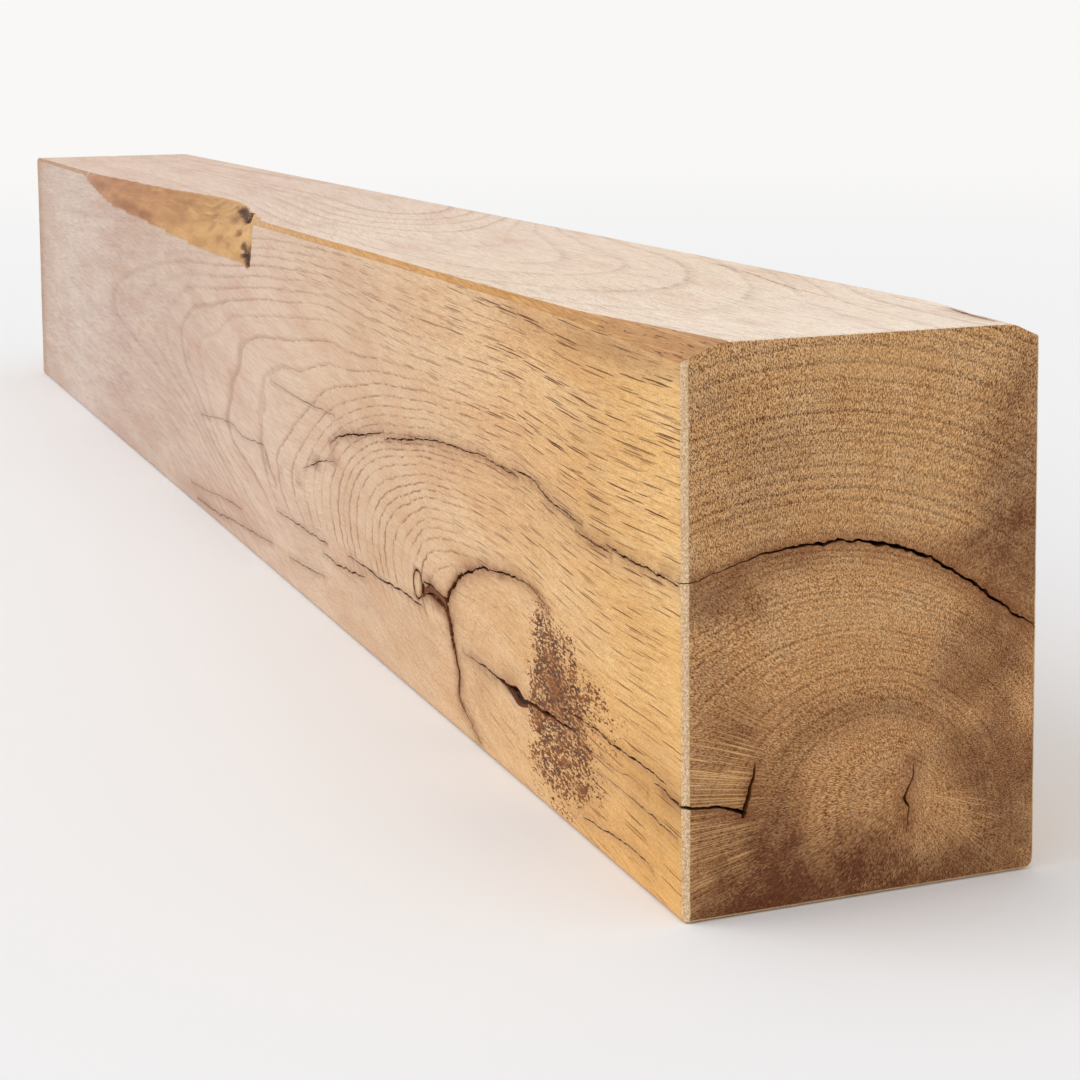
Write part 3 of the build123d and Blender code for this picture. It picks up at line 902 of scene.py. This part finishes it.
was_in, was_down = wood_place(places)
radius, outward_in, outward_down = ring_at_end(was_in, was_down)
tips = np.array([(a, 0.0, d) for a, d in STRONG_TIPS])
strong_radii = ring_at_end(*wood_place(tips))[0]
strong = np.exp(-((radius[:, None] - strong_radii) / 1.3) ** 2).sum(axis=1).clip(0, 1)

knot_away = np.hypot((along - KNOT[0]) / KNOT[2], (down - KNOT[1]) / KNOT[3])
in_knot = (knot_away < 1.0) * on_front_face * ease((985 - along) / 34)
# between the loops' tips and the knot's fork the rings are crumpled
crumpled = ease((along - 340) / 90) * ease((740 - along) / 90) * ease((down - 30) / 30) * on_front_face
crumple = crumpled * (0.36 * uneven(along / 45, down / 17) + 0.09 * uneven(along / 16, down / 7))
number = (ring_number(radius) + crumple) * (1 - in_knot) + in_knot * (20 + knot_away * KNOT[3] / KNOT_PITCH)
print("rings", int(number.min()), "to", int(number.max()), "strong at", np.round(strong_radii, 1))
# under the loops the grain runs straight and its lines fade
faded = 1 - (0.45 + 0.40 * ease((along - 600) / 60)) * ease((down - 112) / 14) * ease((915 - along) / 40)


def ring_spacing(places, step=0.6, smear=3.0):
    """Millimetres from ring to ring on the face that a place lies on: 1 over the slope of the ring
    number in that face. The slope along the beam counts smear times, because the grain draws
    every line out lengthwise."""
    slopes = []
    for move in np.eye(3) * step:
        ahead, back = (ring_number(ring_at_end(*wood_place(places + side * move))[0]) for side in (1, -1))
        slopes.append((ahead - back) / (2 * step))
    slopes = np.array(slopes) * np.array([[smear], [1], [1]])
    edge_distance = [np.minimum(depth_in(places, axis, 0), depth_in(places, axis, 1)) for axis in range(3)]
    slopes[np.argmin(edge_distance, axis=0), np.arange(len(places))] = 0
    return 1 / np.clip(np.sqrt((slopes ** 2).sum(axis=0)), 0.03, 0.6)


spacing = ring_spacing(places)
print("ring spacing on the faces", np.round(np.percentile(spacing, [5, 50, 95]), 1), "mm")

# %% Storing the fields on the points
def store(mesh, name, *columns):
    """Three numbers a point as one vector attribute."""
    field = mesh.attributes.new(name, "FLOAT_VECTOR", "POINT")
    field.data.foreach_set("vector", np.column_stack(columns).astype(np.float32).ravel())


store(beam.data, "wood", was_in, was_down, number)
store(beam.data, "ray", radius, outward_in, outward_down)
store(beam.data, "mark", stain, flecks, halo)
# skin: the depth below the sanded surface, which the material darkens as painted shade in the cracks and
# cuts, then the waney share and the torn bark
store(beam.data, "skin", np.clip(deep - 0.25, 0, 6) * (wane < 0.5), wane, torn)
store(beam.data, "vigour", strong, in_knot, eased)
store(beam.data, "spacing", spacing, faded, 0 * spacing)
beam.data.shade_smooth()
beam.data.set_sharp_from_angle(angle=math.radians(32))
print("stored", [a.name for a in beam.data.attributes if not a.name.startswith(".")])

# %% [markdown]
# ## Building a material from small words
# A procedural material is a graph, and a graph made node by node is hard to read. A small
# class gives it verbs: take a value, mix two colours, make noise. A value may be a number, a
# colour or another node's output, so a pattern reads like a sentence.

# %% Words for materials
def linear(red, green, blue):
    """A screen colour from 0 to 255 as the linear colour that light adds up in."""
    share = np.array([red, green, blue]) / 255
    return tuple(np.where(share <= 0.04045, share / 12.92, ((share + 0.055) / 1.055) ** 2.4)) + (1.0,)


class Recipe:
    """A material or a sky under construction: each word adds a node or a few and returns an output."""

    def __init__(self, owner):
        self.owner = owner
        owner.use_nodes = True
        self.tree = owner.node_tree
        self.tree.nodes.clear()

    def node(self, kind, inputs=(), **settings):
        made = self.tree.nodes.new(kind)
        for key, value in settings.items():
            setattr(made, key, value)
        for key, value in dict(inputs).items():
            self.feed(made.inputs[key], value)
        return made

    def feed(self, socket, value):
        if isinstance(value, bpy.types.NodeSocket):
            self.tree.links.new(value, socket)
        else:
            socket.default_value = value

    def math(self, operation, a, b=0.0, c=0.0, clamp=False):
        made = self.node("ShaderNodeMath", {0: a, 1: b, 2: c}, operation=operation, use_clamp=clamp)
        return made.outputs[0]

    def times(self, *factors):
        product = factors[0]
        for factor in factors[1:]:
            product = self.math("MULTIPLY", product, factor)
        return product

    def plus(self, a, b):
        return self.math("ADD", a, b)

    def minus(self, a, b):
        return self.math("SUBTRACT", a, b)

    def size(self, a):
        return self.math("ABSOLUTE", a)

    def most(self, a, b):
        return self.math("MAXIMUM", a, b)

    def between(self, value, low, high, out_low=0.0, out_high=1.0):
        """Smooth step from out_low at low to out_high at high, and level outside. High may be the smaller."""
        inputs = {"Value": value, "From Min": low, "From Max": high, "To Min": out_low, "To Max": out_high}
        return self.node("ShaderNodeMapRange", inputs, interpolation_type="SMOOTHSTEP").outputs[0]

    def kept(self, share, left=0.0):
        """1 where a share is 0, down to what is left where it is 1."""
        return self.between(share, 0, 1, 1, left)

    def vector(self, x, y, z=0.0):
        return self.node("ShaderNodeCombineXYZ", {0: x, 1: y, 2: z}).outputs[0]

    def split(self, vector):
        return self.node("ShaderNodeSeparateXYZ", {0: vector}).outputs[:3]

    def attribute(self, name):
        return self.split(self.node("ShaderNodeAttribute", attribute_name=name).outputs["Vector"])

    def grain(self, space, rates, detail=2.0, roughness=0.5):
        """Noise in a space with each axis drawn out: at a rate of 1 / 26, streaks about 26 mm long."""
        place = self.vector(*(self.times(axis, rate) for axis, rate in zip(space, rates)))
        inputs = {"Vector": place, "Scale": 1.0, "Detail": detail, "Roughness": roughness}
        return self.node("ShaderNodeTexNoise", inputs).outputs["Fac"]

    def cells(self, vector):
        """Scattered points in the plane: the distance to the nearest and two random numbers of its own."""
        made = self.node("ShaderNodeTexVoronoi", {"Vector": vector, "Scale": 1.0}, voronoi_dimensions="2D")
        return made.outputs["Distance"], *self.split(made.outputs["Color"])[:2]

    def either(self, share, a, b):
        """For plain numbers: a at share 0 and b at share 1."""
        return self.node("ShaderNodeMix", {0: share, 2: a, 3: b}, data_type="FLOAT").outputs[0]

    def mix(self, share, a, b):
        """For colours: a at share 0 and b at share 1, each an output or a screen colour."""
        made = self.node("ShaderNodeMix", data_type="RGBA", clamp_factor=True)
        for socket, value in zip((made.inputs[0], made.inputs[6], made.inputs[7]), (share, a, b)):
            self.feed(socket, linear(*value) if isinstance(value, tuple) else value)
        return made.outputs[2]

    def lay(self, colour, *layers):
        """Lays colours on, in order. A layer is one share or several to multiply, and last its colour."""
        for *shares, paint in layers:
            colour = self.mix(self.times(*shares), colour, paint)
        return colour

    def ramp(self, value, stops):
        """A colour that changes along a value through listed stops, or a grey where they are numbers."""
        made = self.node("ShaderNodeValToRGB", {0: value})
        band = made.color_ramp
        while len(band.elements) < len(stops):
            band.elements.new(0.5)
        for element, (place, stop) in zip(band.elements, stops):
            element.position = place
            element.color = linear(*stop) if isinstance(stop, tuple) else (stop, stop, stop, 1.0)
        return made.outputs[0]


print("a mid oak colour is", np.round(linear(200, 160, 115), 3))

# %% [markdown]
# ## The oak
# One material dresses the whole beam, because it is one piece of wood. It starts from the
# plain colour of each face and lays on, in this order: soft cloudiness, fibre, the rings,
# the open pores, the end grain, the waney skin, the marks placed one by one, and last the
# arrises and painted shade inside the cracks. The front runs from a pinkish beige far away to
# honey at the near end, and the top is paler; the pale far end and the pale top are partly
# painted sheen of the daylight on the oil.

# %% Plain colour of each face, with painted sheen paling the top and the far front
oak = Recipe(bpy.data.materials.new("oiled_oak"))
calc, times, plus, minus, size, most = oak.math, oak.times, oak.plus, oak.minus, oak.size, oak.most
between, kept, either, grain = oak.between, oak.kept, oak.either, oak.grain
mix, lay, ramp, vector, split = oak.mix, oak.lay, oak.ramp, oak.vector, oak.split

here = oak.node("ShaderNodeTexCoord").outputs
mm_x, mm_y, mm_z = (times(each, 1 / MM) for each in split(here["Object"]))
normal_x, _, normal_z = split(here["Normal"])
was_in_value, was_down_value, ring_value = oak.attribute("wood")
ring_radius, out_in, out_down = oak.attribute("ray")
stain_value, fleck_share, halo_share = oak.attribute("mark")
hole_depth, wane_share, torn_share = oak.attribute("skin")
strong_share, knot_share, flat_nearness = oak.attribute("vigour")
ring_spacing_value, line_left_share, _ = oak.attribute("spacing")
# three spaces for patterns: on the beam as it lies, in the log's own grain, and out along its rays
on_beam = mm_x, mm_y, mm_z
in_log = mm_x, was_in_value, was_down_value
in_rays = out_in, out_down, ring_radius

leaning_x = size(normal_x)
on_end_share = between(leaning_x, 0.78, 0.90)
on_top_share = between(normal_z, 0.72, 0.86)
level_share = between(size(normal_z), 0.72, 0.86)
along_share = calc("MULTIPLY_ADD", mm_x, 1 / LENGTH, 0.5)

# the front from the far end to the near end: the honey near end is the wood's own colour, and the pale
# pinkish far end is partly painted sheen of daylight glancing off the oiled face
FRONT_COLOURS_AND_SHEEN = [
    (0.00, (190, 164, 148)), (0.03, (206, 186, 174)), (0.15, (213, 196, 187)), (0.28, (204, 181, 170)),
    (0.42, (208, 185, 171)), (0.56, (218, 192, 175)), (0.66, (222, 194, 170)), (0.74, (219, 187, 158)),
    (0.80, (225, 189, 154)), (0.87, (232, 190, 143)), (0.94, (233, 183, 117)), (1.00, (243, 194, 118)),
]
# the top is paler than the front and palest at the near end: painted sheen of the daylight on the oiled top,
# over the wood's own colour
TOP_COLOURS_AND_SHEEN = [
    (0.00, (226, 200, 185)), (0.15, (230, 205, 191)), (0.40, (229, 205, 190)), (0.60, (234, 212, 195)),
    (0.85, (244, 228, 213)), (1.00, (255, 245, 234)),
]
plain = mix(on_top_share, ramp(along_share, FRONT_COLOURS_AND_SHEEN), ramp(along_share, TOP_COLOURS_AND_SHEEN))
plain = mix(on_end_share, plain, mix(between(mm_z, 110, 40), (226, 162, 94), (228, 154, 80)))

# %% Cloudiness and fibre
CLOUD_RATES = np.array([1 / 70, 1 / 14, 1 / 14])
cloud = grain(in_log, CLOUD_RATES, 3.0)
fibre = grain(in_log, (1 / 26, 1.1, 1.1), 3.0, 0.6)
fine_fibre = grain(in_log, (1 / 6, 2.8, 2.8), 2.0, 0.6)
fleece = grain(on_beam, (1.3, 2.4, 2.4), 2.0, 0.6)
fine_amount = between(between(along_share, 0.55, 0.97), 0, 1, 0.06, 0.48)
# the lower near corner of the front is a deeper honey
honey = times(between(along_share, 0.92, 0.98), between(mm_z, 58, 30), kept(on_end_share))
colour = lay(
    plain,
    (between(cloud, 0.42, 0.72), 0.22, (200, 138, 84)),
    (between(cloud, 0.58, 0.30), 0.22, (242, 218, 184)),
    (between(fibre, 0.38, 0.75), 0.24, (182, 126, 82)),
    (between(fine_fibre, 0.48, 0.72), fine_amount, (170, 112, 62)),
    (between(fine_fibre, 0.50, 0.28), fine_amount, (248, 216, 164)),
    (between(fleece, 0.50, 0.70), fine_amount, (186, 128, 76)),
    (between(fleece, 0.50, 0.30), fine_amount, (250, 214, 156)),
    (honey, 0.3, (222, 158, 76)),
)

# %% Rings
# every ring's line is about as wide wherever a face cuts it, so it is measured in millimetres
ring_drift = times(plus(grain(in_log, 3 * CLOUD_RATES), -0.5), 1.3)
ring_here = plus(ring_value, calc("DIVIDE", ring_drift, ring_spacing_value))
ring_phase, ring_index = calc("FRACT", ring_here), calc("FLOOR", ring_here)
past_ring = times(ring_phase, ring_spacing_value)
ring_random = oak.node("ShaderNodeTexWhiteNoise", {"W": ring_index}, noise_dimensions="1D").outputs["Value"]
plain_vigour = times(between(ring_random, 0.1, 0.9, 0.5, 0.95), between(along_share, 0.35, 0.62, 0.45, 1.0))
vigour = most(plain_vigour, strong_share)
# far away the lines are softer, and a ring that the face cuts at a low angle leaves a wider one
far_wide = between(along_share, 0.26, 0.66, 2.9, 1.0)
low_cut = calc("SQRT", most(times(ring_spacing_value, 1 / 3), 1.0))
past_line = calc("DIVIDE", past_ring, times(far_wide, low_cut))
line_reach = either(on_top_share, 1.25, 1.9)
line = times(between(past_line, 0.0, 0.45), between(past_line, line_reach, 0.35), vigour)
LINE_STRENGTHS = [(0, 0.20), (0.36, 0.30), (0.56, 0.42), (0.68, 0.30), (0.90, 0.20), (1, 0.16)]
line_amount = times(
    split(ramp(along_share, LINE_STRENGTHS))[0], line_left_share,
    kept(knot_share, 0.5), kept(on_top_share, 0.95),
)
colour = lay(colour, (line, line_amount, mix(on_top_share, (150, 98, 70), (160, 116, 76))))

# %% Open pores
# a pore is a tube along the grain, so a long face cuts it to a stroke and an end to a dot: both are
# scattered ellipses, kept near the rings' lines; towards the top of the face they are thicker and
# stand closer
PORE_LENGTHWISE, PORE_ACROSS = 24, 0.56          # mm from one to the next
upper = between(was_down_value, 78, 22)
front_flow = times(plus(was_down_value, minus(HEIGHT, mm_z)), 0.5)
across = either(level_share, either(on_end_share, front_flow, was_down_value), was_in_value)
across = plus(across, times(grain((mm_x, across), (1 / 9, 1 / 3)), 0.5))
lengthwise = either(on_end_share, times(mm_x, 1 / PORE_LENGTHWISE), times(was_in_value, 1 / PORE_ACROSS))
pore_away, pore_random, pore_seed = oak.cells(vector(lengthwise, times(across, 1 / PORE_ACROSS)))
pore_away = calc("MULTIPLY_ADD", fine_fibre, 0.22, plus(pore_away, -0.11))
pore_reach = times(between(pore_seed, 0.0, 1.0, 0.10, 0.36), between(upper, 0, 1, 0.88, 1.15))
stroke = between(minus(pore_away, pore_reach), 0.02, 0.0)
early_zone = times(
    between(past_ring, 0.0, 0.12), between(minus(past_ring, between(upper, 0, 1, 1.1, 1.4)), 0.1, -0.1),
    between(plus(pore_random, times(upper, 0.16)), 0.24, 0.28),
)
late_pore = between(pore_random, 0.88, 0.90, 0, 0.8)
stroke_pore = times(stroke, most(times(early_zone, vigour), late_pore))
# where the log leans out of the face, the rings' lines themselves are rows of short dashes and dots
dash = grain((mm_x, ring_index), (1 / 7, 7.3), 3.0, 0.7)
dash_pore = times(
    between(dash, 0.46, 0.53), between(past_ring, 0.0, 0.12), between(past_ring, 0.75, 0.38),
    between(vigour, 0.3, 0.9, 0.5, 1.0),
)
above_share = times(between(was_down_value, 62, 40), between(along_share, 0.56, 0.66))
stroke_part = most(most(between(along_share, 0.79, 0.87), above_share), on_end_share)
PORE_STRENGTHS = [(0, 0.0), (0.40, 0.12), (0.56, 0.34), (0.68, 0.44), (0.80, 0.62), (0.90, 1), (1, 1)]
pore_amount = times(
    split(ramp(along_share, PORE_STRENGTHS))[0], line_left_share,
    kept(on_top_share, 0.45), kept(knot_share, 0.4),
)
pore_colour = mix(between(along_share, 0.70, 0.92), (122, 72, 42), (84, 34, 4))
colour = lay(colour, (either(stroke_part, dash_pore, stroke_pore), pore_amount, pore_colour))
print("nodes so far", len(oak.tree.nodes))

# %% End grain
# the hatching follows the rays: its steps round the ring double with each doubling of the radius
step_count = calc("POWER", 2.0, calc("FLOOR", calc("LOGARITHM", times(ring_radius, 1 / 0.16), 2.0)))
hatch = grain(in_rays, (step_count, step_count, 1 / 0.68), 1.0, 0.6)
grit = grain((was_in_value, was_down_value), (5.4, 5.4), 1.0, 0.6)
speckle = plus(times(hatch, 0.55), times(grit, 0.45))
ring_band = times(between(ring_phase, 0.0, 0.1), between(ring_phase, 0.62, 0.30))
# one dotted row a ring: noise round the ring, at the ring's own radius
DOT_APART = 0.44
round_ring = times(calc("ARCTAN2", out_down, out_in), ring_index, RING_PITCH / DOT_APART)
dotted = times(
    between(past_ring, 0.0, 0.2), between(past_ring, 0.95, 0.55),
    between(grain((round_ring, ring_index), (1, 3.7), 1.0), 0.47, 0.56),
    between(ring_random, 0.1, 1.0, 0.2, 1.0), between(ring_radius, 18, 50, 0.4, 1),
)
dark_band = between(size(plus(ring_radius, -33)), 10, 0)
rays = times(
    between(grain(in_rays, (66, 66, 1 / 26), 1.0), 0.57, 0.63), between(out_down, -0.45, 0.0),
    between(ring_radius, 84, 62), between(size(out_in), 0.35, 0.75, 0.25, 1.0),
)
# in the near end's lower front corner the sanding has bared finer ones, light and dark side by side
thin_rays = grain(in_rays, (95, 95, 1 / 22), 1.0)
bared_down = plus(was_down_value, times(was_in_value, 0.5))
bared = times(between(was_in_value, 27, 17), between(bared_down, 96, 112), between(along_share, 0.5, 0.6))
end_colour = lay(
    colour,
    (ring_band, vigour, 0.15, (120, 72, 38)),
    (between(speckle, 0.49, 0.59), 0.92, (94, 54, 28)),
    (between(speckle, 0.49, 0.39), 0.88, (250, 209, 156)),
    (dotted, 0.58, (84, 48, 26)),
    (dark_band, 0.26, (96, 58, 36)),
    (rays, 0.72, (244, 196, 136)),
    (bared, 0.38, (112, 62, 34)),
    (bared, between(thin_rays, 0.55, 0.61), 0.80, (244, 196, 132)),
    (bared, between(thin_rays, 0.40, 0.34), 0.45, (96, 54, 28)),
)
colour = mix(on_end_share, colour, end_colour)

# %% The waney skin
skin_noise = grain(on_beam, (1 / 30, 1 / 7, 1 / 7), 3.0, 0.6)
WANE_COLOURS = [
    (0.18, (190, 142, 112)), (0.26, (184, 132, 96)), (0.36, (192, 140, 94)), (0.46, (206, 158, 100)),
    (0.57, (214, 168, 108)),
]
skin_colour = lay(
    ramp(along_share, WANE_COLOURS),
    (between(skin_noise, 0.42, 0.70), 0.4, (160, 106, 68)),
    (between(skin_noise, 0.50, 0.30), 0.25, (226, 180, 122)),
    (between(fine_fibre, 0.4, 0.7), 0.2, (150, 104, 64)),
    (torn_share, (70, 40, 26)),
)
colour = mix(wane_share, colour, skin_colour)

# %% Marks, flecks and the brown beside the cracks
patchy = grain(on_beam, (1 / 9, 1 / 4, 1 / 4), 4.0, 0.65)
end_texture = calc("MULTIPLY_ADD", plus(patchy, times(speckle, 2.0)), 1.2, -0.8)
stain_share = times(stain_value, either(on_end_share, 1.0, end_texture))
stained_end = times(on_end_share, between(stain_share, 0.05, 0.4, 0, 0.5))
fleck_noise = grain(on_beam, (1 / 1.9, 1 / 1.2, 1 / 0.75), 2.0, 0.65)
fleck_edge = calc("MULTIPLY_ADD", fleck_share, -0.23, 0.66)
fleck = times(between(minus(fleck_noise, fleck_edge), 0.0, 0.04), between(fleck_share, 0.02, 0.2))
colour = lay(
    colour,
    (calc("MULTIPLY", stain_share, 1.6, clamp=True), mix(on_end_share, (130, 74, 34), (108, 60, 34))),
    (calc("MULTIPLY", stain_share, -1.6, clamp=True), (236, 188, 128)),
    (stained_end, between(speckle, 0.48, 0.38), (186, 128, 82)),
    (stained_end, between(speckle, 0.50, 0.60), (66, 38, 28)),
    (fleck, 0.96, mix(between(patchy, 0.40, 0.60), (136, 80, 36), (90, 50, 26))),
    (halo_share, between(patchy, 0.35, 0.60, 0.6, 0.95), (122, 66, 32)),
)

# %% The arrises and painted shade inside the cracks
FACET_COLOURS = [
    (0.00, (184, 148, 124)), (0.18, (190, 150, 122)), (0.58, (206, 162, 116)), (0.72, (208, 156, 96)),
    (0.88, (202, 148, 84)), (0.95, (196, 146, 94)), (1.00, (190, 140, 94)),
]
facet_stroke = between(grain(on_beam, (1 / 7, 1.3, 1.3), 2.0, 0.6), 0.62, 0.66)
facet_colour = lay(
    ramp(along_share, FACET_COLOURS),
    (between(fine_fibre, 0.42, 0.70), 0.55, (142, 92, 52)),
    (between(fibre, 0.50, 0.30), 0.5, (232, 182, 120)),
    (facet_stroke, between(along_share, 0.92, 0.95), 0.85, (92, 52, 30)),
)
end_arris = times(between(leaning_x, 0.45, 0.55), between(leaning_x, 0.88, 0.80))
fuzz = grain(on_beam, (2.2, 2.2, 1.7), 3.0, 0.7)
pale_arris = mix(between(fuzz, 0.36, 0.64), (242, 214, 176), (196, 156, 114))
top_arris = mix(between(fuzz, 0.35, 0.65), (206, 144, 82), (168, 106, 58))
arris_colour = mix(between(normal_z, 0.3, 0.5), pale_arris, top_arris)
far_arris_share = between(normal_x, 0.3, -0.3)
colour = lay(
    colour,
    (between(flat_nearness, 0.90, 0.95), kept(on_end_share), facet_colour),
    (end_arris, mix(far_arris_share, arris_colour, (184, 152, 132))),
    # painted shade: points below the sanded surface darken with depth, first to a brown that is partly the
    # crack walls' own colour and partly painted shade, then to a near black that is painted shade
    (between(hole_depth, 0.0, 0.35), mix(between(along_share, 0.45, 0.75), (150, 110, 88), (116, 68, 36))),
    (between(hole_depth, 0.85, 1.8), (62, 36, 24)),
)

# %% Gloss and relief
RELIEF_DEPTH = 0.35 * MM
relief = minus(times(fibre, 0.35), times(stroke, 0.8))
relief = minus(relief, times(grit, on_end_share, 0.6))
bump = oak.node("ShaderNodeBump", {"Height": relief, "Strength": 0.6, "Distance": RELIEF_DEPTH})
shader = oak.node("ShaderNodeBsdfPrincipled", {
    "Base Color": colour,
    "Roughness": between(fibre, 0.3, 0.7, 0.50, 0.62),
    "Normal": bump.outputs[0],
    "Specular IOR Level": 0.14,
})
oak.node("ShaderNodeOutputMaterial", {0: shader.outputs[0]})
beam.data.materials.clear()
beam.data.materials.append(oak.owner)
print("oak nodes", len(oak.tree.nodes))

# %% The beam takes the place of the plain solid
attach(beam, "root")
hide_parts("oak_beam")

# %% [markdown]
# ## Floor and light
# The floor is plain and so wide that its edge is never seen: far away it takes the backdrop's
# colour. The light is an even sky and two wide, soft suns, which light the floor evenly.

# %% The floor
def seen_directly(recipe):
    """1 where the camera sees a thing itself or its mirror image, and 0 for the light it gives off."""
    path = recipe.node("ShaderNodeLightPath").outputs
    return recipe.most(path["Is Camera Ray"], path["Is Glossy Ray"])


BACKDROP = linear(249, 248, 246)
FLOOR_RADIUS = 60.0
angle = turns(96)
rim = FLOOR_RADIUS * np.stack([np.cos(angle), np.sin(angle), 0 * angle], axis=-1)
disc = bpy.data.meshes.new("floor")
disc.from_pydata(rim.tolist(), [], [list(range(len(rim)))])
floor = add_object("floor", disc)

pale = Recipe(bpy.data.materials.new("pale_floor"))
from_middle = pale.node("ShaderNodeTexCoord").outputs["Object"]
away = pale.node("ShaderNodeVectorMath", {0: from_middle}, operation="LENGTH").outputs["Value"]
far_share = pale.times(pale.between(away, 0.5, 3.4), seen_directly(pale))
near_floor = pale.node("ShaderNodeBsdfDiffuse", {"Color": linear(241, 241, 242)}).outputs[0]
far_floor = pale.node("ShaderNodeEmission", {"Color": BACKDROP, "Strength": 1.0}).outputs[0]
floor_mix = pale.node("ShaderNodeMixShader", {0: far_share, 1: near_floor, 2: far_floor})
pale.node("ShaderNodeOutputMaterial", {0: floor_mix.outputs[0]})
floor.data.materials.append(pale.owner)

# %% The light
def soft_sun(name, towards, strength, angle):
    """A sun that shines along a direction, as wide as the angle, so its shadows are soft."""
    light = bpy.data.lights.new(name, "SUN")
    light.energy, light.angle = strength, math.radians(angle)
    back = -np.array(towards, float) / np.linalg.norm(towards)
    side = np.cross([0, 0, 1.0], back)
    side /= np.linalg.norm(side)
    stand(add_object(name, light), side, np.cross(back, side), back)


soft_sun("window", (0.35, 0.80, -0.70), 1.03, 50)
soft_sun("ceiling", (-0.15, 0.1, -1.0), 0.39, 80)
sky = Recipe(bpy.data.worlds.new("sky"))
bpy.context.scene.world = sky.owner
lighting = sky.node("ShaderNodeBackground", {"Color": (1, 1, 1, 1), "Strength": 0.68}).outputs[0]
backdrop = sky.node("ShaderNodeBackground", {"Color": BACKDROP, "Strength": 1.0}).outputs[0]
sky_mix = sky.node("ShaderNodeMixShader", {0: seen_directly(sky), 1: lighting, 2: backdrop})
sky.node("ShaderNodeOutputWorld", {0: sky_mix.outputs[0]})
bpy.context.scene.view_settings.view_transform = "Standard"
